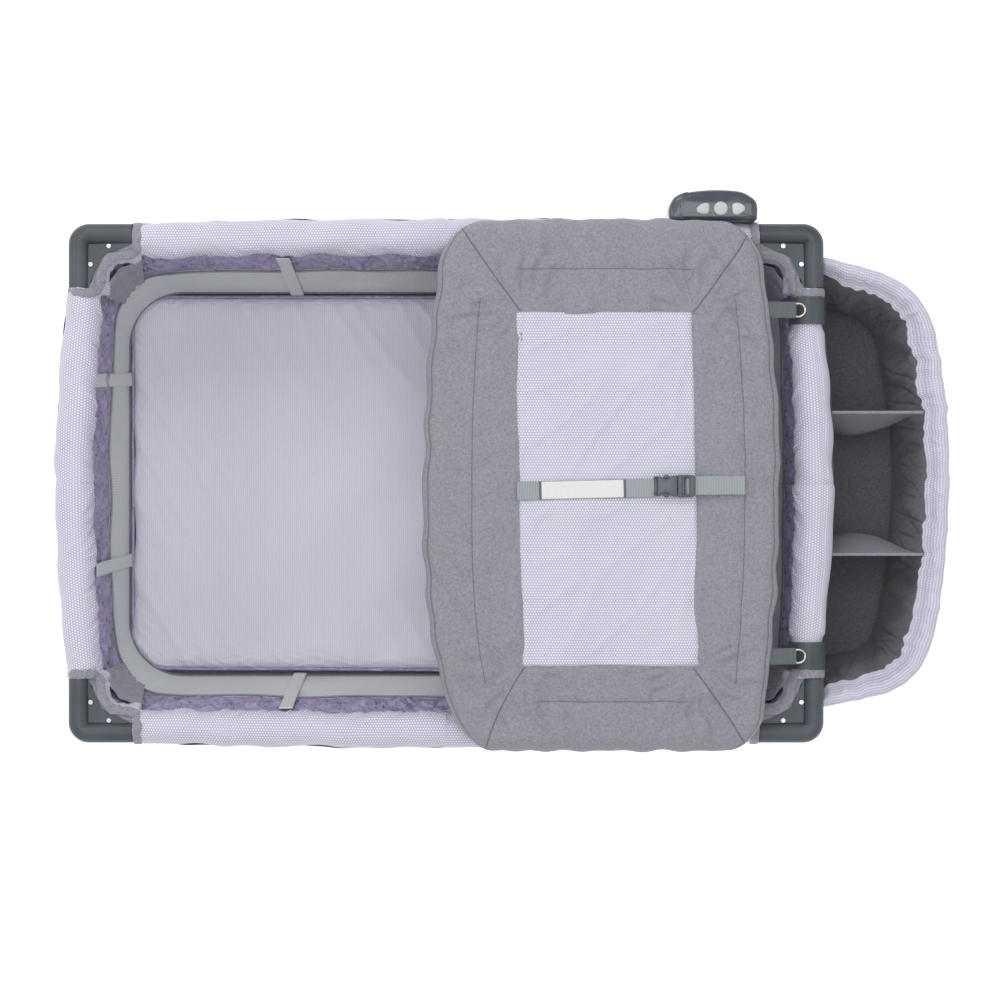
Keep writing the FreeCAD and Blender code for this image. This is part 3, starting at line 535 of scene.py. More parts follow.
def sizes():
    """The sizes in millimetres, lamp power and sky as they are."""
    chosen = bpy.context.scene.playpen_sizes
    return {name: getattr(chosen, name) * (1 if name in ("lamp_power", "sky") else 1000)
            for name in PlaypenSizes.__annotations__}


# The frame: CAD pieces that stay, each with its finish

FRAME_FINISHES = {
    "Slate_polypropylene": ("corner_casting", "rail_clips", "foot_", "floor_hub", "latch_button"),
    "Powder_coated_tube": ("leg_tube", "rail_", "changer_tube_loop", "mattress_rods", "floor_strut"),
    "Zinc_plated_steel": ("pins_", "latch_bracket"),
    "Wheel_rubber": ("wheel_",),
    "Brass_washed_wire": ("strap_rings",),
}


class PLAYPEN_OT_frame(bpy.types.Operator):
    """Gives the tubes, castings, pins, wheels and brackets of the frame their finishes"""

    bl_idname = "playpen.frame"
    bl_label = "Frame finishes"

    def execute(self, context):
        for name, node in frame["nodes"].items():
            chosen = next((key for key, starts in FRAME_FINISHES.items() if name.startswith(starts)),
                          "Dark_polypropylene")
            node.data.materials.clear()
            node.data.materials.append(finish(chosen))
        return {"FINISHED"}


# Rail sleeves: eight halves, each on its own half rail

def half_sleeve(name, along, out, line, end, bow, radius, seed, squeeze=None, seam=False):
    """Foam sleeve over one half rail, from the middle of the side (s = 0) to `end`. Its centre line stands out by
    bow (1 - (s / reach)^2). Its round profile hangs a little at the bottom, where the wall is sewn on, and folds
    run slantwise over its inner half. `squeeze` is the stretch that a clip holds thin."""
    s = np.linspace(-0.8, end, int(end / 1.9))
    turn = np.linspace(0, 2 * np.pi, 61)
    reach = squeeze[0] - 8 if squeeze else end
    stand = bow * np.clip(1 - (s / reach) ** 2, 0, 1)
    along, out = np.array(along, float), np.array(out, float)
    path = s[:, None] * along + (line + stand)[:, None] * out + np.array([0, 0, RAIL_Z + 0.5])
    size = np.full_like(s, radius)
    if squeeze:
        held = step(s, squeeze[0] - 10, squeeze[0] + 2) * (1 - step(s, squeeze[1] - 2, squeeze[1] + 8))
        size = radius + 1.6 * step(squeeze[0] - s, 0, 110) - (radius - 20.8) * held
    else:
        held = np.zeros_like(s)
    inner, up = -np.cos(turn), np.sin(turn)
    cloth = turn * radius
    S, C = s[:, None], cloth[None]
    calm = (1 - held)[:, None] * step(S, 0, 6)
    low = step(inner - 0.55 * up, -0.1, 0.9)
    r = size[:, None] * (1 + 0.1 * np.clip(-up, 0, 1) ** 3) + 0.3 * stand[:, None] * np.clip(inner, 0, 1)
    r = r + sizes()["wrinkle"] * calm * (0.7 * waves(seed, 70, S, C, count=7)
                                         + 1.2 * low * creases(seed + 1, 26, S + 0.9 * C, 0.35 * C)
                                         - 0.9 * low * creases(seed + 2, 34, S + 1.1 * C, 0.2 * S))
    r = r - 0.7 * np.exp(-(end - S) / 12) * (0.5 + 0.5 * np.sin(11 * turn + seed)) * (1 - held)[:, None]
    if seam:
        r = r - 1.7 * np.exp(-((turn - np.radians(64)) * radius / 1.9) ** 2) * calm * (1 + 0.4 * np.sin(S / 9))
    profile = np.stack([r * np.cos(turn), r * np.sin(turn)], -1)
    # the profile's first direction is the side of the run: outwards, or inwards where the run goes the other way
    facing = np.sign(np.dot(np.cross(along, (0, 0, 1)), out))
    profile[..., 0] *= facing
    points, flat, flip = sweep(path, profile, flip=facing < 0)
    flat = np.stack([flat[..., 0], np.broadcast_to(cloth, flat.shape[:2])], -1)
    return make(name, [(points, flat, flip)], finish("Honeycomb_jacquard"))


SLEEVES = (   # name, body it rides on, bracket at its end (where one is given, the sleeve is left on no body), run, outward, centre line, end, replaced cover
    ("front_right", "rail_front_right", None, (1, 0, 0), (0, -1, 0), LONG_RAIL, LONG_END, "front"),
    ("front_left", "rail_front_left", "bracket_front", (-1, 0, 0), (0, -1, 0), LONG_RAIL, LONG_END, "front"),
    ("back_right", "rail_back_right", "bracket_back", (1, 0, 0), (0, 1, 0), LONG_RAIL, LONG_END, "back"),
    ("back_left", "rail_back_left", None, (-1, 0, 0), (0, 1, 0), LONG_RAIL, LONG_END, "back"),
    ("left_front", "rail_left_front", None, (0, -1, 0), (-1, 0, 0), SHORT_RAIL, SHORT_END, "left"),
    ("left_back", "rail_left_back", "bracket_left", (0, 1, 0), (-1, 0, 0), SHORT_RAIL, SHORT_END, "left"),
    ("right_front", "rail_right_front", "bracket_right", (0, -1, 0), (1, 0, 0), SHORT_RAIL, SHORT_END, "right"),
    ("right_back", "rail_right_back", None, (0, 1, 0), (1, 0, 0), SHORT_RAIL, SHORT_END, "right"),
)


class PLAYPEN_OT_sleeves(bpy.types.Operator):
    """Makes the eight foam sleeves in honeycomb jacquard over the half rails"""

    bl_idname = "playpen.sleeves"
    bl_label = "Rail sleeves"

    def execute(self, context):
        size = sizes()
        for seed, (name, body, bracket, along, out, line, end, side) in enumerate(SLEEVES):
            bow = {"left": size["left_bow"], "right": size["right_bow"]}.get(side, size["long_bow"])
            piece = half_sleeve(f"sleeve_{name}", along, out, line, end, bow, size["sleeve_radius"], 10 * seed + 3,
                                squeeze=(214, 257) if side == "right" else None, seam=side == "right")
            if bracket:
                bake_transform(piece)
            else:
                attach(piece, body)
            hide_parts(f"side_cover_{side}")
        return {"FINISHED"}


# Corners: binding tape along each casting, and the gusset inside it

def corner_places(a, b, z, side_x, side_y):
    """Points given from a corner's outer faces, a along X and b along Y, as places in the frame."""
    return np.stack([side_x * (OUTER_X - a), side_y * (OUTER_Y - b), z], -1)


CORNER_LINE = ((-1.5, 95, 696), (1, 95, 709), (9, 95, 720), (22, 95.5, 724.5), (34, 95, 720), (42, 91, 714),
               (45, 80, 713.5), (46.5, 68, 714.5), (51, 57, 716), (58, 49, 716), (68, 45, 714.5), (80, 44, 713.5),
               (91, 41, 714), (95, 33, 720), (95.5, 22, 724.5), (95, 9, 720), (95, 1, 709), (95, -1.5, 696))


class PLAYPEN_OT_corners(bpy.types.Operator):
    """Makes the heather bindings and honeycomb gussets inside the four corner castings"""

    bl_idname = "playpen.corners"
    bl_label = "Corner bindings"

    def execute(self, context):
        for number, (name, side_x, side_y) in enumerate((("FL", -1, -1), ("FR", 1, -1), ("BR", 1, 1), ("BL", -1, 1))):
            line = evenly(curve(CORNER_LINE, 400), 150)
            share = np.linspace(0, 1, len(line))
            line = line + 0.8 * waves(40 + number, 22, share * 260)[:, None] * np.array([0.5, 0.5, 0.4])
            middle = bump(share, 0.5, 0.32)
            facing = np.stack([0.25 * middle + (share < 0.5) * (line[:, 0] - 22) / 24 * (1 - middle),
                               0.25 * middle + (share >= 0.5) * (line[:, 1] - 22) / 24 * (1 - middle),
                               np.clip((line[:, 2] - 698) / 16, 0.15, 1)], -1)
            flip = side_x * side_y > 0
            mirror = np.array([-side_x, -side_y, 1.0])
            path = corner_places(*line.T, side_x, side_y)
            width = 11.5 + 1.3 * waves(50 + number, 30, share * 260) + 2.0 * middle
            profile = oval(1, 1, 2.6, 20)[None] * np.stack([width, np.full_like(width, 3.4)], -1)[:, None]
            out = np.linspace(0, 15, 6)[:, None]
            across_x, across_y = line[30:120, 0] - 0.7 * out, line[30:120, 1] - 0.7 * out
            fill = corner_places(across_x, across_y, np.full_like(across_x, 712.4), side_x, side_y)
            flat = np.stack(np.broadcast_arrays(share[30:120] * 260, out), -1)
            tape = make(f"corner_binding_{name}", [sweep(path, profile, up=facing * mirror), (fill, flat, not flip)],
                        finish("Heather_canvas"))
            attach(tape, f"post_{name}")

            inner = line[28:122]
            part = np.linspace(0, 1, len(inner))
            to_inside = np.stack([1 - part * 0.9, 0.1 + part * 0.9], -1)
            to_inside /= np.linalg.norm(to_inside, axis=1, keepdims=True)
            across = np.linspace(0, 1, 14)
            wide = 13 - 5 * bump(part, 0.5, 0.5)
            depth = 30 - 8 * bump(part, 0.5, 0.5)
            fold = 1.4 * waves(60 + number, 16, part[:, None] * 120, across * 20)
            a = inner[:, :1] + to_inside[:, :1] * (wide[:, None] * across ** 0.8) + 0.4 * fold
            b = inner[:, 1:2] + to_inside[:, 1:] * (wide[:, None] * across ** 0.8) + 0.4 * fold
            z = inner[:, 2:] - 2.5 - depth[:, None] * across ** 1.6 + fold * across
            cloth = np.stack(np.broadcast_arrays(part[:, None] * 130, across * 26), -1)
            gusset = make(f"corner_gusset_{name}", [(corner_places(a, b, z, side_x, side_y), cloth, not flip)],
                          finish("Honeycomb_jacquard"), thickness=1.2)
            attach(gusset, f"post_{name}")
        return {"FINISHED"}


# Walls: a fabric border sewn round a netting window, on each side

WALLS = (   # side, body, across the wall, outward, half width, distance out, folding axis and how much stays
    ("front", "post_FL", (1, 0, 0), (0, -1, 0), 487.0, 334.0, (1, 0, 0), 0.245),
    ("back", "post_BR", (-1, 0, 0), (0, 1, 0), 487.0, 334.0, (1, 0, 0), 0.245),
    ("right", "post_FR", (0, 1, 0), (1, 0, 0), 325.0, 496.0, (0, 1, 0), 0.29),
    ("left", "post_BL", (0, -1, 0), (-1, 0, 0), 325.0, 496.0, (0, 1, 0), 0.29),
)


class PLAYPEN_OT_walls(bpy.types.Operator):
    """Makes the four walls: jacquard borders round windows of netting"""

    bl_idname = "playpen.walls"
    bl_label = "Side walls"

    def execute(self, context):
        low, high = 75.0, 679.0
        for seed, (side, body, along, out, half, line, fold_axis, keep) in enumerate(WALLS):
            along, out = np.array(along, float), np.array(out, float)
            middle, tall = (low + high) / 2, (high - low) / 2

            def place(x, z, proud=0.0):
                """Points on the wall, x across it and z up it, which stands in and out in soft waves."""
                free = (1 - (x / half) ** 2) * (1 - ((z - middle) / tall) ** 2)
                off = line + proud - 2.0 * free + 1.4 * free * waves(70 + seed, 190, x, z, count=6)
                return x[..., None] * along + off[..., None] * out + z[..., None] * np.array([0, 0, 1.0])

            def ring_at(share, corner):
                """A rounded rectangle between the window's edge (share 0) and the wall's edge (share 1)."""
                hx = half - (1 - share) * 74
                hz = tall - (1 - share) * 66
                _, ex, ez, nx, nz = box_ring(240, half, tall, 60)
                r = corner * (1 - share) + 6 * share
                return ex * (hx - r) + r * nx, middle + ez * (hz - r) + r * nz

            shares = np.linspace(0, 1, 9)[:, None]
            x, z = ring_at(shares, 70.0)
            border = make(f"wall_border_{side}", [(place(x, z), np.stack([x, z], -1), False)],
                          finish("Honeycomb_jacquard"), thickness=2.0)
            xi, zi = ring_at(np.array([[0.04]]), 70.0)
            inward = np.linspace(0, 1, 25)[:, None]
            xw, zw = xi * inward, middle + (zi - middle) * inward
            window = make(f"wall_window_{side}", [(place(xw, zw), np.stack([xw, zw], -1), False)],
                          finish("Side_netting"), thickness=0.8)
            xs, zs = ring_at(np.array([[0.02]]), 70.0)
            seam = place(xs[0], zs[0], 1.6)
            tape = make(f"wall_tape_{side}", [sweep(seam, oval(11, 2.6, 3, 12), up=out, capped=False)],
                        finish("Heather_canvas"))
            for piece, slot in ((border, "honeycomb_fabric"), (window, "panel_mesh"), (tape, "heather_fabric")):
                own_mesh(piece)
                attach(piece, body)
                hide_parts(f"side_cover_{side}")
        return {"FINISHED"}


class PLAYPEN_OT_base_board(bpy.types.Operator):
    """Makes the padded base board in four sewn panels"""

    bl_idname = "playpen.base_board"
    bl_label = "Base board"

    def execute(self, context):
        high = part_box("floor_panel")[1]
        x, y, d = pad_grid(478, 325, 60, 150, 220)
        fold = np.minimum.reduce([np.abs(x), np.abs(x - 239), np.abs(x + 239)])
        rise = (high.z * 1000 + 7 - 64) * swelling(d, 12) - 5 * np.exp(-(fold / 5) ** 2) * step(d, 0, 15)
        rise += 0.5 * waves(5, 90, x, y) * step(d, 0, 30)
        board = make("base_board", pad_surfaces(x, y, 64 + np.maximum(rise, 0), np.full_like(x, 64.0)),
                     finish("Honeycomb_jacquard"))
        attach(board, frame["nodes"]["floor_panel"]["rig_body"])
        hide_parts("floor_panel")
        return {"FINISHED"}


# Bassinet: satin and mesh liner, corner patches, tapes and mattress

def hem_point(share, z_share, x_out, y_out):
    """One level of the liner: a rounded rectangle that follows the sleeves at the top and the mattress below."""
    _, ex, ey, nx, ny = share
    hx = x_out[0] + (x_out[1] - x_out[0]) * z_share
    hy = y_out[0] + (y_out[1] - y_out[0]) * z_share
    corner = 58 + 22 * z_share
    x, y = ex * (hx - corner) + corner * nx, ey * (hy - corner) + corner * ny
    bow = (1 - z_share) * np.clip(1 - (y / 250) ** 2, 0, 1) * np.abs(nx)
    return x + bow * np.where(x < 0, -13, 8), y + (1 - z_share) * 4 * np.clip(1 - (x / 430) ** 2, 0, 1) * ny


LINER_TOP, LINER_BOTTOM = 685.0, 470.0
LINER_X, LINER_Y = (477.0, 466.0), (313.0, 280.0)   # half sizes at the top and at the mattress


def liner_half(drop):
    """Half sizes of the liner in X and Y, at a share of the way down from its top to the mattress."""
    return (LINER_X[0] - (LINER_X[0] - LINER_X[1]) * drop, LINER_Y[0] - (LINER_Y[0] - LINER_Y[1]) * drop)


def liner_surface(start, stop, rows, folds, bulge=0.0):
    """A band of the liner between two heights (each a number, or one for each place round), with folds standing off
    it: the place on the sloping wall less `folds` times the way that the wall faces."""
    share = box_ring(900, LINER_X[0], LINER_Y[0], 60)
    s = share[0]
    t = np.linspace(0, 1, rows)[:, None]
    z = start + (stop - start) * t
    drop = (LINER_TOP - z) / (LINER_TOP - LINER_BOTTOM)
    x, y = hem_point(share, drop, LINER_X, LINER_Y)
    inset = folds(s[None], z, t) + bulge * np.sin(np.pi * t)
    x, y = x - inset * share[3], y - inset * share[4]
    return np.stack(np.broadcast_arrays(x, y, z), -1), np.stack(np.broadcast_arrays(s[None], z), -1), False


class PLAYPEN_OT_bassinet(bpy.types.Operator):
    """Makes the bassinet's crinkled satin band, ribbed mesh band, tapes, corner patches and base"""

    bl_idname = "playpen.bassinet"
    bl_label = "Bassinet liner"

    def execute(self, context):
        share = box_ring(900, LINER_X[0], LINER_Y[0], 60)
        s, _, _, nx, ny = share
        corner = np.clip(np.minimum(np.abs(nx), np.abs(ny)) * 1.5, 0, 1)
        kernel = np.hanning(75)
        corner = np.convolve(np.r_[corner[-75:], corner, corner[:75]], kernel / kernel.sum(), "same")[75:-75]
        line = 603 - 45 * corner - 12 * (np.abs(nx) > 0.7) + 5 * waves(81, 160, s)

        def satin_folds(s, z, t):
            crush = creases(82, 30, s + 0.7 * z, 0.5 * z) - creases(83, 38, s - 0.8 * z, 0.4 * z)
            return (5.5 * crush + 2.5 * waves(84, 45, s, 0.6 * z)) * np.sin(np.pi * np.clip(t, 0.02, 1)) ** 0.5

        def mesh_folds(s, z, t):
            return 2.0 * waves(85, 120, s, z) * np.sin(np.pi * t) + 1.2 * np.exp(-((t - 0.04) / 0.05) ** 2)

        points, cloth, flip = liner_surface(LINER_TOP, line, 46, satin_folds)
        satin = make("liner_satin", [(points, cloth, flip)], finish("Satin_nylon"), thickness=1.0)
        points, cloth, flip = liner_surface(line + 2, 468.0, 40, mesh_folds, bulge=3.0)
        mesh = make("liner_mesh", [(points, cloth, flip)], finish("Ribbed_mesh"), thickness=1.0)
        edge_points = liner_surface(line + 1, line - 1, 2, lambda s, z, t: 3.5 + 0 * s)[0]
        binding = make("liner_binding", [sweep(edge_points[0], oval(2.6, 6, 3, 10), up=(0, 0, 1), capped=False)],
                       finish("Heather_canvas"))

        rows = np.linspace(0, 1, 20)[:, None]
        _, ex, ey, nx, ny = box_ring(400, 466, 280, 80)
        hx = np.where(rows < 0.15, 466 - 4 * rows / 0.15, 462 * (1 - (rows - 0.15) / 0.85))
        hy = np.where(rows < 0.15, 280 - 4 * rows / 0.15, 276 * (1 - (rows - 0.15) / 0.85))
        r = 80 * np.minimum(hy / 280, 1)
        z = 469 - 22.5 * step(rows, 0, 0.15) + 0.6 * waves(86, 120, hx * ex, hy * ey) * (rows > 0.2) * (hy > 1)
        under = np.stack(np.broadcast_arrays(ex * (hx - r) + r * nx, ey * (hy - r) + r * ny, z), -1)
        # the base is in the darker copy of the heather: painted shade under the mattress
        base = make("bassinet_base", [(under, under[..., :2], True)], finish("Heather_canvas_painted_shade"), thickness=1.5)

        pieces = [(satin, "satin_nylon"), (mesh, "honeycomb_fabric"), (binding, "heather_fabric"),
                  (base, "dark_heather")]
        for side_x in SIDES:
            for side_y in SIDES:
                u, v = np.meshgrid(np.linspace(-1, 1, 30), np.linspace(0, 1, 26), indexing="ij")
                run, z = u * (46 - 20 * v), 690 - 92 * v
                drop = (LINER_TOP - z) / (LINER_TOP - LINER_BOTTOM)
                r = 58 + 22 * drop
                angle = np.clip(np.pi / 4 + run / r, 0, np.pi / 2)
                over = run - (angle - np.pi / 4) * r
                inset = 9.5 + 1.6 * waves(87, 24, u * 40, v * 90) + 3 * v
                half_x, half_y = liner_half(drop)
                x = half_x - r + (r - inset) * np.cos(angle) - np.maximum(over, 0)
                y = half_y - r + (r - inset) * np.sin(angle) + np.minimum(over, 0)
                patch = make(f"corner_patch_{'BF'[side_y < 0]}{'RL'[side_x < 0]}",
                             [(np.stack([side_x * x, side_y * y, z], -1), np.stack([u * 40, v * 90], -1),
                               side_x * side_y < 0)], finish("Heather_canvas"), thickness=1.2)
                pieces.append((patch, "heather_fabric"))
        for number, (x, y, turned) in enumerate(((-226, 1, 0), (-222, -1, 0), (-1, 142, 1), (-1, -120, 1),
                                                 (260, 1, 0), (265, -1, 0))):
            t = np.linspace(0, 1, 30)
            z = LINER_TOP - (LINER_TOP - 471) * t
            drop = (LINER_TOP - z) / (LINER_TOP - LINER_BOTTOM)
            if turned:
                off = LINER_X[0] + 11 - (LINER_X[0] - LINER_X[1] + 11) * drop - 5.5
                path = np.stack([x * off, y + 10 * t, z], -1)
                out = (x, 0, 0)
            else:
                off = LINER_Y[0] + 3 - (LINER_Y[0] - LINER_Y[1] + 3) * drop - 5.5
                path = np.stack([x + 6 * t, y * off, z], -1)
                out = (0, y, 0)
            strip = make(f"liner_tape_{number}", [sweep(path, oval(19, 1.6, 4, 12), up=out)], finish("Ribbed_mesh"))
            pieces.append((strip, "honeycomb_fabric"))
        dress("bassinet", "bassinet_shell", *pieces)
        return {"FINISHED"}


class PLAYPEN_OT_mattress(bpy.types.Operator):
    """Makes the bassinet mattress, puckered along its piped edge"""

    bl_idname = "playpen.mattress"
    bl_label = "Mattress"

    def execute(self, context):
        low, high = (corner.z * 1000 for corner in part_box("mattress"))
        half_x, half_y = 459.0, 271.0
        x, y, d = pad_grid(half_x, half_y, 48, 150, 235)
        angle = np.arctan2(y / half_y, x / half_x)
        pucker = np.exp(-d / 30) * (3.4 * creases(91, 20, x + 0.4 * y, y - 0.4 * x) - 1.0)
        long_folds = 3.6 * creases(92, 85, 0.9 * x + 0.5 * y, 0.25 * y) * np.exp(-d / 120)
        rise = swelling(d, 20)
        rows = (0.5 + 1.8 * waves(93, 150, x, y)) * step(d, 0, 40)
        middle = low + 10
        top = middle + (high + 1.5 - middle) * rise + (pucker + long_folds + rows) * rise
        bottom = middle - (middle - low) * rise
        x = x + 2.0 * np.cos(angle) * np.exp(-d / 15) * waves(94, 60, x, y)
        y = y + 4 * bump(y, -half_y, 60) * step(-x, -460, 460)
        pad = make("bassinet_mattress", pad_surfaces(x, y, top, bottom, cloth=np.stack([y, x], -1)),
                   finish("Honeycomb_jacquard_fine"))
        _, ex, ey, nx, ny = box_ring(500, half_x + 1.5, half_y + 1.5, 49)
        r, z = 49.0, middle + 3.0
        path = np.stack([ex * (half_x + 1.5 - r) + r * nx, ey * (half_y + 1.5 - r) + r * ny,
                         z + 0.8 * waves(95, 80, ex * 460, ey * 271)], -1)
        path[:, 1] += 4 * bump(path[:, 1], -half_y, 60) * step(-path[:, 0], -460, 460)
        piping = make("mattress_piping", [sweep(path, oval(5, 5, 2, 10), capped=False)], finish("Satin_nylon"))
        dress("bassinet", "mattress", (pad, "honeycomb_fabric"), (piping, "satin_nylon"))
        return {"FINISHED"}


# Changer: sewn pad with its centre panel, belt and buckle

CHANGER_MIDDLE, CHANGER_HALF = (210.0, 0.0), (240.0, 363.0)
PANEL = (219.5, -8.0, 121.5, 241.5)      # centre panel: middle X and Y, half X and Y
BELT_Y = -8.0


def changer_outline(x, y):
    """Moves the pad's plain rounded rectangle to its sewn outline, which bows out at the middle of each end."""
    share = np.abs(y) / 341
    left = np.where(y > 0, 28 * share ** 2, 51 * share ** 3)
    right = np.where(y > 0, -29 * share ** 2, -25 * share ** 2) + 5
    t = np.clip((x - CHANGER_MIDDLE[0]) / CHANGER_HALF[0], -1, 1)
    wobble = 1.6 * waves(101, 55, y, x * 0.3)
    new_x = x + np.where(t < 0, -t * (left - 1), t * (right - 1)) + np.abs(t) ** 6 * wobble
    v = y / CHANGER_HALF[1]
    new_y = y + np.where(v > 0, -3.5 - 7 * np.abs(t) ** 3, -1.5) * np.abs(v) + np.abs(v) ** 6 * 1.2 * waves(102, 60, x)
    return new_x, new_y


class PLAYPEN_OT_changer_pad(bpy.types.Operator):
    """Makes the changer's heather pad with its mitred border, and its honeycomb centre panel"""

    bl_idname = "playpen.changer_pad"
    bl_label = "Changer pad"

    def execute(self, context):
        x, y, d = pad_grid(*CHANGER_HALF, 52, 260, 190)
        x = x + CHANGER_MIDDLE[0]
        px, py, half_x, half_y = PANEL
        across, up = np.abs(x - px) - half_x, np.abs(y - py) - half_y
        inside = -np.maximum(across, up)
        # seam from each outer corner, 88 mm along X and 104 along Y, to the panel's own corner
        mitre = (up * 88 - across * 104) / np.hypot(88, 104)
        long_seam = (np.abs(y + 1) - 294) * (mitre > 0) + (np.abs(x - px) - 183) * (mitre <= 0)
        stitches = np.where(np.abs(mitre) < 32, 9.0, long_seam)
        side = CHANGER_HALF[0] - np.abs(x - CHANGER_MIDDLE[0])
        beyond = np.clip(np.abs(y) - (CHANGER_HALF[1] - 52), 0, 52)
        bound_edge = side - (52 - np.sqrt(52 ** 2 - beyond ** 2)) - 7.5
        rise = swelling(d, 24)
        from_corner = np.hypot(across, up)
        angle = np.arctan2(up, across)
        fan = np.sin(15 * angle + 1.5 * waves(103, 60, x, y)) * bump(from_corner, 62, 62) * (up > -30) * (across > -60)
        soft = (2.6 * waves(104, 120, x, y) + 1.0 * waves(105, 42, x, y)) * (1 - 0.6 * step(inside, 0, 6))
        crease = 4.0 * creases(106, 85, 0.8 * x + 0.6 * y, 0.3 * x) * bump(d, 52, 50)
        pinch = 1.5 * np.sin(y / 7 + 2 * waves(107, 70, y)) * np.exp(-np.clip(side, 0, None) / 16)
        sewn = -1.8 * np.exp(-(mitre / 3.0) ** 2) * (up > -2) * (across > -2) - 1.4 * np.exp(-(stitches / 4.0) ** 2)
        sewn -= 1.3 * np.exp(-(bound_edge / 1.8) ** 2)
        under_panel = -5.0 * step(inside, 1, 9) - 1.2 * np.exp(-(inside / 3.0) ** 2)
        middle = 744.0
        top = middle + (763.6 - middle) * rise + (soft + crease + fan * 2.6 + pinch + sewn + under_panel) * rise
        bottom = middle - 4.4 * rise
        nx, ny = changer_outline(x, y)
        pad = make("changer_pad_cover", pad_surfaces(nx, ny, top, bottom), finish("Heather_canvas_sewn"),
                   attributes={"mitre": [np.where((up > -2) & (across > -2), mitre, 50.0)] * 2,
                               "stitches": [stitches] * 2, "bound_edge": [bound_edge] * 2})
        x, y, d = pad_grid(half_x, half_y, 5, 170, 110, ease=0.45)
        rise = swelling(d, 7)
        folds = 1.7 * waves(108, 95, x, y) + 2.4 * creases(109, 60, 0.7 * x - 0.7 * y, 0.3 * y) * step(d, 2, 30)
        folds += 1.4 * np.exp(-d / 12) * waves(110, 16, x, y)
        under_belt = np.exp(-((y + py - BELT_Y) / 17) ** 4)
        top = 755 + 9.6 * rise + folds * rise * (1 - under_belt) * step(d, 0, 12) - 0.6 * under_belt * rise
        sheared = x + px - 5.0 * (y / half_y)
        panel = make("changer_centre_panel", pad_surfaces(sheared, y + py, top, 755 - 2 * rise),
                     finish("Honeycomb_jacquard"))
        dress("changer", "changer_pad", (pad, "heather_fabric"), (panel, "honeycomb_fabric"))
        return {"FINISHED"}


def belt_line(x, lift=0.0):
    """The belt's middle at X: it runs a little askew across the pad, and rises into the buckle."""
    y = np.interp(x, [96, 282, 314, 342, 406], [-11, -6.5, -4.5, -3.5, -3.0])
    z = 766.9 + 2.2 * bump(x, 312, 62) + 0.25 * np.sin(x / 11) + lift
    return np.stack([x, y, z + 0 * x], -1)


class PLAYPEN_OT_belt(bpy.types.Operator):
    """Makes the changer's belt with its blank label, and the two rail straps"""

    bl_idname = "playpen.belt"
    bl_label = "Belt, buckle and straps"

    def execute(self, context):
        webbing = oval(25.2, 1.9, 5, 24)
        x = np.linspace(97, 288, 120)
        long_half = make("belt_long_half", [sweep(belt_line(x), webbing)], finish("Belt_webbing"))
        label_x = np.linspace(129, 242, 60)
        label = make("belt_label", [sweep(belt_line(label_x, lift=1.25), oval(23.4, 0.7, 6, 20))],
                     finish("Woven_tape_label"))
        bars = [sweep(belt_line(np.linspace(at, at + 3.2, 6), lift=1.3), oval(24.6, 0.9, 6, 16)) for at in (127, 241)]
        ends = make("belt_label_stitching", bars, finish("Dark_webbing"))
        for piece, slot in ((long_half, "grey_webbing"), (label, "grey_webbing"), (ends, "grey_webbing")):
            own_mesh(piece)
            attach(piece, "changer")
            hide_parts("belt_long")

        x = np.linspace(318, 404, 70)
        lower = make("belt_short_half", [sweep(belt_line(x), webbing)], finish("Belt_webbing"))
        x = np.linspace(326, 405.5, 70)
        upper = make("belt_short_fold", [sweep(belt_line(x, lift=1.9), oval(25.6, 1.8, 5, 24))],
                     finish("Belt_webbing"))
        straps = []
        for side in SIDES:
            path = curve(((438, side * 236, 745), (448, side * 236, 744), (462, side * 236, 740),
                          (474, side * 236, 737.2), (477.5, side * 236, 734.5), (474, side * 236, 731.8),
                          (460, side * 236, 735), (447, side * 236, 740.5)), 60)
            straps.append(sweep(path, oval(22, 1.6, 5, 20)))
        straps = make("rail_strap_webbing", straps, finish("Dark_webbing"))
        dress("changer", "belt_short_and_straps", *((piece, "grey_webbing") for piece in (lower, upper, straps)))
        return {"FINISHED"}


def lozenge(points, count=90):
    """A smooth closed outline through the points, evenly spaced."""
    return evenly(curve(points, 500, closed=True), count)


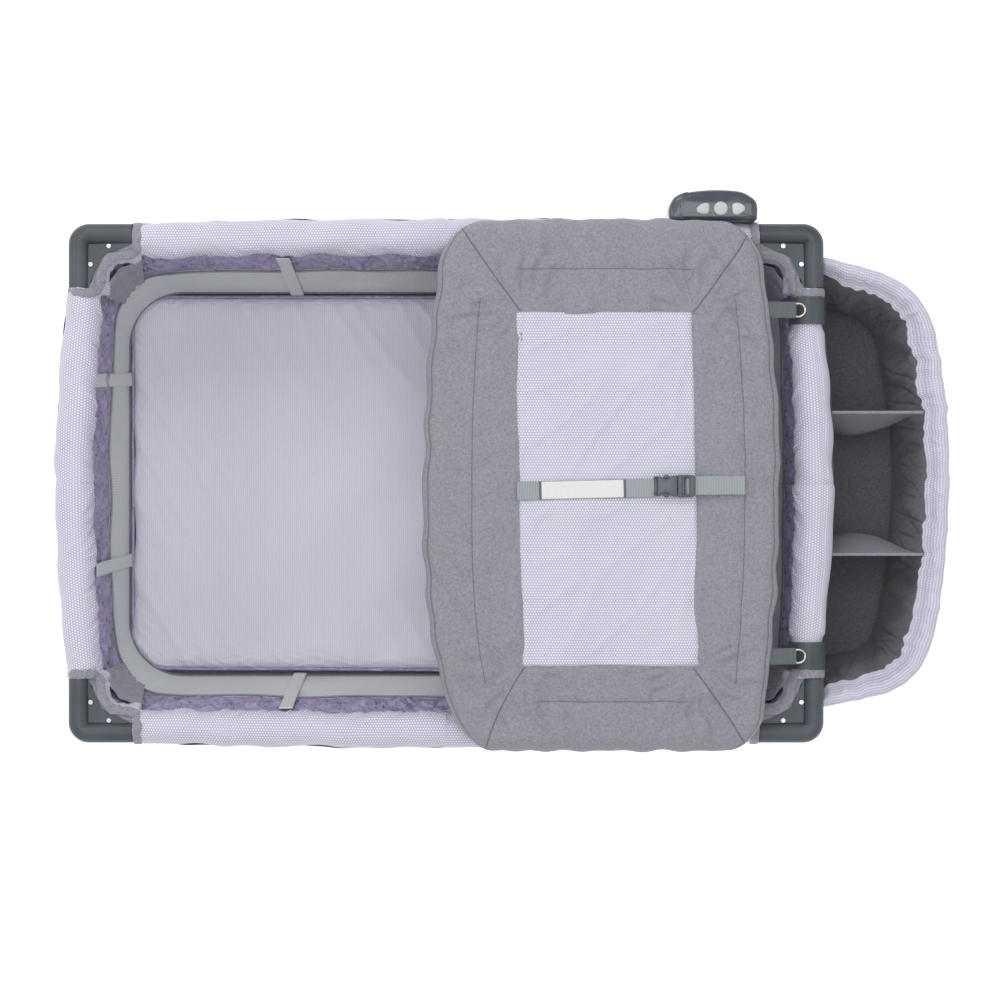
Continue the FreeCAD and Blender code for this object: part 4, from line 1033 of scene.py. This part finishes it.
class PLAYPEN_OT_buckle(bpy.types.Operator):
    """Makes the two halves of the side-release buckle"""

    bl_idname = "playpen.buckle"
    bl_label = "Buckle"

    def execute(self, context):
        mid = np.array([0.0, -4.2])
        low, high = 766.9, 777.0

        def block(points, z0, z1, edge, crown=0.0):
            """A rounded block over an outline given about the buckle's middle line."""
            outline = evenly(np.vstack([points, points[:1]]) + mid, 121)
            soft = np.stack([np.convolve(np.r_[outline[-5:-1, i], outline[:, i], outline[1:5, i]],
                                         np.ones(5) / 5, "same")[4:-4] for i in (0, 1)], -1)
            return pebble(soft, z0, z1, edge, crown)

        shell = [(286.5, 12.6), (291, 12.6), (294, 11.2), (297, 9.6), (301, 9.6), (304, 11.4), (306.5, 14.0),
                 (313.6, 14.6)]
        upper = np.array(shell)
        outline = np.vstack([upper[::-1], upper * (1, -1)])
        housing = [block(outline[:, :2], low + 0.4, high - 0.6, 1.7, 0.9)]
        plate = np.array([(286.9, 12.6), (281.8, 12.6), (281.8, -12.6), (286.9, -12.6)])
        housing += [block(plate, low, low + 3.2, 1.2)]
        housing += [block(np.array([(287.5, y + 1.6), (281.9, y + 1.6), (281.9, y - 1.6), (287.5, y - 1.6)]),
                          low, low + 6.5, 1.2) for y in (11.4, -11.4)]
        socket = make("buckle_housing", housing, finish("Buckle_acetal"))

        frame_bars = [block(np.array(shape), low, z, 1.3, 0.2) for shape, z in (
            (((320.0, 15.2), (314.2, 15.2), (314.2, -15.2), (320.0, -15.2)), high - 0.4),
            (((333.5, 15.0), (319.0, 15.2), (319.0, 11.6), (333.5, 11.6)), high - 1.6),
            (((333.5, -11.6), (319.0, -11.6), (319.0, -15.2), (333.5, -15.0)), high - 1.6),
            (((337.6, 12.5), (335.5, 14.6), (329.8, 15.0), (329.8, -15.0), (335.5, -14.6), (337.6, -12.5)), high - 2.2),
            (((324.5, 12.5), (322.6, 12.5), (322.6, -12.5), (324.5, -12.5)), high - 3.4))]
        lobes = [block(np.array([(304.0, side * 10.4), (301.6, side * 14.4), (298.6, side * 15.8),
                                 (295.6, side * 14.4), (293.4, side * 10.6)])[::int(side)],
                       low + 1.6, high - 1.8, 1.4, 0.6) for side in SIDES]
        tongue = make("buckle_tongue_half", frame_bars + lobes, finish("Buckle_acetal"))
        dress("buckle_socket", "buckle_socket", (sharpen(socket, 55), "buckle_plastic"))
        dress("changer", "buckle_tongue", (sharpen(tongue, 55), "buckle_plastic"))
        return {"FINISHED"}


# Sound and light module, with its three keys

class PLAYPEN_OT_module(bpy.types.Operator):
    """Makes the glossy module on the back rail, with a paler shell over its left end that paints a reflection, and its
    three silicone keys
    """

    bl_idname = "playpen.module"
    bl_label = "Module and keys"

    def execute(self, context):
        low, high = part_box("module_housing")
        x0, x1, y1 = low.x * 1000 - 0.5, high.x * 1000 - 0.5, high.y * 1000 - 1
        bottom, top = low.z * 1000, high.z * 1000
        outline = lozenge([(x0, 366), (x0 + 0.8, 378), (x0 + 9, 391), (x0 + 28, 398), (x0 + 62, y1), (x0 + 96, y1 - 2),
                           (x1 - 10, y1 - 9), (x1 - 1.5, 383), (x1 - 0.5, 366), (x1 - 4, 358.6),
                           (x1 - 20, 357.3), (x1 - 50, 357),
                           (x0 + 42, 357), (x0 + 14, 357.3), (x0 + 3, 358.6)], 160)[::-1]
        shell = make("module_shell", [pebble(outline, bottom, top - 2.2, 9, 1.2, 9)], finish("Glossy_module_ABS"))
        # a second shell over the left end, in the paler copy of the module plastic: a painted reflection, not a
        # separate part
        part = lozenge([(x0 - 0.3, 366), (x0 + 0.4, 378), (x0 + 8.6, 391.6), (x0 + 26, 398.4), (x0 + 27, 390),
                        (x0 + 25, 374), (x0 + 24, 362), (x0 + 21, 357), (x0 + 12, 356.9), (x0 + 3, 358.4)],
                       120)[::-1]
        painted_reflection = make("module_painted_reflection", [pebble(part, bottom + 0.4, top - 1.9, 9, 1.0, 9)], finish("Module_ABS_painted_reflection"))
        dress("rail_back_right", "module_housing", (shell, "module_plastic"), (painted_reflection, "module_plastic"))
        keys = (("left", [(358.2, 381), (353, 382), (345.5, 378.5), (341.8, 373.5), (344.5, 368.5), (352, 366.8),
                          (357.8, 368.5), (359.6, 375)]),
                ("centre", [(375 + 9.4 * c, 374.5 + 9.4 * s) for c, s in
                            zip(np.cos(np.linspace(0, 5.6, 9)), np.sin(np.linspace(0, 5.6, 9)))]),
                ("right", [(391.6, 380.5), (390.8, 374), (392, 367.6), (397, 365.8), (404, 369), (407.8, 374),
                           (405.6, 379), (398.5, 382.2)]))
        for name, points in keys:
            shape = lozenge(points, 72)
            area = np.sum(shape[:-1, 0] * shape[1:, 1] - shape[1:, 0] * shape[:-1, 1])
            key = make(f"key_{name}_cap", [pebble(shape if area > 0 else shape[::-1], top - 4, top + 1.2, 1.5, 1.0)],
                       finish("Silicone_keys"))
            node = next(n for n, o in frame["nodes"].items() if o["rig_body"] == f"key_{name}")
            dress(f"key_{name}", node, (key, "key_plastic"))
        return {"FINISHED"}


# Organiser: a bag with three pockets, hung on the right rail

RIM = ((508, 312), (535, 306), (593, 290), (627, 274), (652, 250), (669, 216), (680, 160), (688, 95), (691, 5),
       (686, -95), (678, -165), (669, -212), (652, -252), (631, -273), (606, -287), (572, -295), (535, -303),
       (508, -308))


RIM_LENGTH = 1330.0      # of that line, mm


def rim_line():
    """The rim's line, evenly spaced, the way inwards at each place and the distance along it."""
    rim = evenly(curve(RIM, 900), 420)
    way = np.gradient(rim, axis=0)
    inward = np.stack([way[:, 1], -way[:, 0]], -1) / np.linalg.norm(way, axis=1, keepdims=True)
    return rim, inward, np.linspace(0, 1, len(rim)) * RIM_LENGTH


class PLAYPEN_OT_organiser(bpy.types.Operator):
    """Makes the organiser: its rolled honeycomb rim, heather pockets, two dividers and hanging loops"""

    bl_idname = "playpen.organiser"
    bl_label = "Organiser"

    def execute(self, context):
        t = np.linspace(0, 1, 26)
        end = np.linspace(0, 1, 420)
        tuck = step(end, 0, 0.07) * (1 - step(end, 0.93, 1))
        width = (29 + 4 * bump(end, 0.27, 0.16) + 3 * bump(end, 0.75, 0.12)) * (0.55 + 0.45 * tuck)
        rim, inward, along = rim_line()
        T, S = t[:, None], along[None]
        ripple = 2.2 * creases(121, 42, S + 8 * T, 30 * T) * bump(T, 0.5, 0.6) + 1.2 * waves(122, 60, S, 25 * T)
        wavy = 2.6 * waves(123, 95, S) * T + 1.2 * waves(124, 30, S) * T
        x = rim[:, 0] + inward[:, 0] * (width * T + wavy) + 1.0 * inward[:, 0] * waves(125, 70, S) * (1 - T)
        y = rim[:, 1] + inward[:, 1] * (width * T + wavy) + 1.0 * inward[:, 1] * waves(125, 70, S) * (1 - T)
        z = 700 + 5 * np.sin(np.pi * np.clip(T * 1.3, 0, 1)) - 16 * T ** 1.6 + ripple
        outer_t = np.linspace(1, 0, 12)[:, None][:-1]
        ox = rim[:, 0] - inward[:, 0] * (1.5 * np.sin(np.pi * outer_t))
        oy = rim[:, 1] - inward[:, 1] * (1.5 * np.sin(np.pi * outer_t))
        oz = 700 - 34 * outer_t + 1.2 * waves(122, 60, S, 0 * outer_t) * (1 - outer_t)
        x, y, z = (np.concatenate([o, i]) for o, i in ((ox, x), (oy, y), (oz, z)))
        cloth = np.stack(np.broadcast_arrays(S, (np.r_[outer_t[:, 0] * -34, T[:, 0] * 31])[:, None]), -1)
        rim_band = make("organiser_rim", [(np.stack([x, y, z], -1), cloth, True)], finish("Honeycomb_jacquard"),
                        thickness=2.2)

        def bag(offset, seed, name, cloth_name, top, bottom, flip):
            """The bag's wall from just under the rim down and in to a flat bottom, with sagging folds."""
            t = np.linspace(0, 1, 60)[:, None]
            inner = (width - 5) * (offset > 0) + offset
            sag = step(t, 0.0, 0.86)
            fold = (4.5 * waves(seed, 85, S, 120 * t) + 5.0 * creases(seed + 1, 60, S + 60 * t, 50 * t)
                    - 4.5 * creases(seed + 2, 75, S - 80 * t, 40 * t)) * np.sin(np.pi * np.clip(t * 1.15, 0, 1))
            move = inner + 22 * sag * (offset > 0) + 34 * sag * (offset <= 0) - fold * 0.8
            x = rim[:, 0] + inward[:, 0] * move
            y = rim[:, 1] + inward[:, 1] * move
            z = top - (top - bottom) * t ** 0.9 + 0 * S
            wall = np.stack(np.broadcast_arrays(x, y, z), -1)
            shrink = np.linspace(1, 0, 20)[1:, None]
            centre = np.array([0.5 * (wall[-1, 0, 0] + wall[-1, -1, 0]) + 25, 0])
            bx = centre[0] + (wall[-1, :, 0] - centre[0]) * shrink
            by = wall[-1, :, 1] * shrink ** 0.7
            bz = bottom - 1.5 * (1 - shrink) + 1.8 * waves(seed + 3, 60, bx, by) * (1 - shrink)
            floor = np.stack(np.broadcast_arrays(bx, by, bz), -1)
            whole = np.concatenate([wall, floor])
            flat = np.stack([whole[..., 1], whole[..., 2]], -1)
            return make(name, [(whole, flat, flip)], finish(cloth_name), thickness=1.6)

        # the inner wall and the back are in the darker copy of the heather: painted shade inside the pockets
        lining = bag(1.0, 130, "organiser_lining", "Heather_canvas_painted_shade", 681, 470, True)
        outside = bag(-0.5, 140, "organiser_outside", "Heather_canvas", 690, 461.5, False)

        u, v = np.meshgrid(np.linspace(-1, 1, 60), np.linspace(0, 1, 50), indexing="ij")
        back_wall = np.stack([514.5 + 3.5 * v + 1.5 * waves(150, 90, u * 290, v * 200) * np.sin(np.pi * v) + 0 * u,
                              u * (300 - 22 * v), 694 - 228 * v], -1)
        back = make("organiser_back", [(back_wall, back_wall[..., 1:], False)], finish("Heather_canvas_painted_shade"),
                    thickness=1.6)

        dividers = []
        for side in SIDES:
            u, v = np.meshgrid(np.linspace(0, 1, 60), np.linspace(0, 1, 50), indexing="ij")
            across = 516 + (658 - 516 - 20 * v) * u
            lean = -side * (26 * np.sin(np.pi * np.clip(u * 0.97 + 0.02, 0, 1)) ** 0.8 * step(v, 0, 0.55))
            place = np.stack([across, side * 98 + lean + 2 * waves(151 + side, 50, u * 140, v * 200) * v,
                              688 - 3 * np.sin(np.pi * u) - 215 * v], -1)
            flap = make(f"organiser_divider_{'back' if side > 0 else 'front'}",
                        [(place, np.stack([u * 140, v * 215], -1), side > 0)], finish("Heather_canvas"), thickness=1.6)
            hem_path = place[:, 0] + np.array([0, 0, 0.8])
            hem = make(f"divider_hem_{'back' if side > 0 else 'front'}",
                       [sweep(hem_path, oval(4.2, 3.6, 2.4, 12))], finish("Heather_canvas"))
            dividers += [flap, hem]

        loops = []
        for side in SIDES:
            # under the sleeve and up its inner side, out of sight from above
            path = curve(((517, side * 130, 640), (517.5, side * 130, 672), (507, side * 130, 675.5),
                          (497, side * 130, 674.8), (486, side * 130, 676)), 40)
            loops.append(sweep(path, oval(30, 1.6, 5, 16), up=(0, 0, 1)))
        loops = make("organiser_loops", loops, finish("Dark_webbing"))
        dress("organiser", "organiser_shell", (rim_band, "honeycomb_fabric"), (lining, "dark_heather"),
              (outside, "heather_fabric"), (back, "dark_heather"), (loops, "grey_webbing"),
              *((piece, "heather_fabric") for piece in dividers))
        return {"FINISHED"}


# Stage: floor, soft lamps and the camera

class PLAYPEN_OT_stage(bpy.types.Operator):
    """Makes the pale studio floor, the even light and the camera straight above"""

    bl_idname = "playpen.stage"
    bl_label = "Studio"

    def execute(self, context):
        scene, size = context.scene, sizes()
        t = np.linspace(-9000, 9000, 3)
        x, y = np.meshgrid(t, t, indexing="ij")
        white, *_ = new_finish("Studio_floor", Roughness=1.0, Specular_IOR_Level=0.1,
                                         Base_Color=scene.playpen_colours.floor, Emission_Strength=0.62,
                                         Emission_Color=(1, 1, 1, 1))
        floor = make("studio_floor", [(np.stack([x, y, 0 * x - 0.5], -1), np.stack([x, y], -1), False)], white)
        world = bpy.data.worlds.new("Studio")
        world.use_nodes = True
        world.node_tree.nodes["Background"].inputs["Color"].default_value = (1.0, 1.0, 1.0, 1)
        world.node_tree.nodes["Background"].inputs["Strength"].default_value = size["sky"]
        scene.world = world
        for name, place, power, wide in (("back", (-0.6, 2.6, 3.2), 1.5, 1.6), ("left", (-3.0, 0.6, 3.0), 1.2, 1.6),
                                         ("right", (3.0, 0.2, 3.0), 0.6, 1.6), ("front", (0.2, -2.8, 3.0), 0.5, 1.6),
                                         ("top", (0.1, 0.3, 5.2), 2.6, 2.4)):
            lamp = bpy.data.lights.new(f"lamp_{name}", "AREA")
            lamp.energy, lamp.size = size["lamp_power"] * power, wide
            made = bpy.data.objects.new(f"lamp_{name}", lamp)
            scene.collection.objects.link(made)
            made.location = place
            aim = np.array([0, 0, 0.7]) - np.array(place)
            made.rotation_mode = "QUATERNION"
            made.rotation_quaternion = Vector(aim).to_track_quat("-Z", "Y")
        sensor, view_width, view_depth = 36.0, 1.37, 4.0     # mm, and metres across the view at that depth
        camera = bpy.data.cameras.new("camera")
        camera.sensor_width, camera.lens = sensor, sensor * view_depth / view_width
        seen = bpy.data.objects.new("camera", camera)
        scene.collection.objects.link(seen)
        seen.location = (0.074, -0.023, 4.715)
        camera.clip_end = 60
        scene.camera = seen
        scene.view_settings.view_transform = "Standard"
        return {"FINISHED"}


class PLAYPEN_PT_pieces(bpy.types.Panel):
    """Lists the playpen's pieces, its sizes and its colours"""

    bl_idname = "PLAYPEN_PT_pieces"
    bl_label = "Playpen"
    bl_space_type = "VIEW_3D"
    bl_region_type = "UI"
    bl_category = "Playpen"

    def draw(self, context):
        for operator in OPERATORS:
            self.layout.operator(operator.bl_idname)
        for group, kind in ((context.scene.playpen_sizes, PlaypenSizes),
                            (context.scene.playpen_colours, PlaypenColours)):
            for name in kind.__annotations__:
                self.layout.prop(group, name)


OPERATORS = (PLAYPEN_OT_frame, PLAYPEN_OT_sleeves, PLAYPEN_OT_corners, PLAYPEN_OT_walls, PLAYPEN_OT_base_board,
             PLAYPEN_OT_bassinet, PLAYPEN_OT_mattress, PLAYPEN_OT_changer_pad, PLAYPEN_OT_belt, PLAYPEN_OT_buckle,
             PLAYPEN_OT_module, PLAYPEN_OT_organiser, PLAYPEN_OT_stage)
CLASSES = (PlaypenColours, PlaypenSizes, *OPERATORS, PLAYPEN_PT_pieces)


def register():
    for kind in CLASSES:
        bpy.utils.register_class(kind)
    bpy.types.Scene.playpen_colours = PointerProperty(type=PlaypenColours)
    bpy.types.Scene.playpen_sizes = PointerProperty(type=PlaypenSizes)


def unregister():
    del bpy.types.Scene.playpen_colours, bpy.types.Scene.playpen_sizes
    for kind in reversed(CLASSES):
        bpy.utils.unregister_class(kind)


def main():
    """Makes every piece in order."""
    register()
    for operator in OPERATORS:
        group, name = operator.bl_idname.split(".")
        getattr(getattr(bpy.ops, group), name)()


if __name__ == "__main__":
    main()
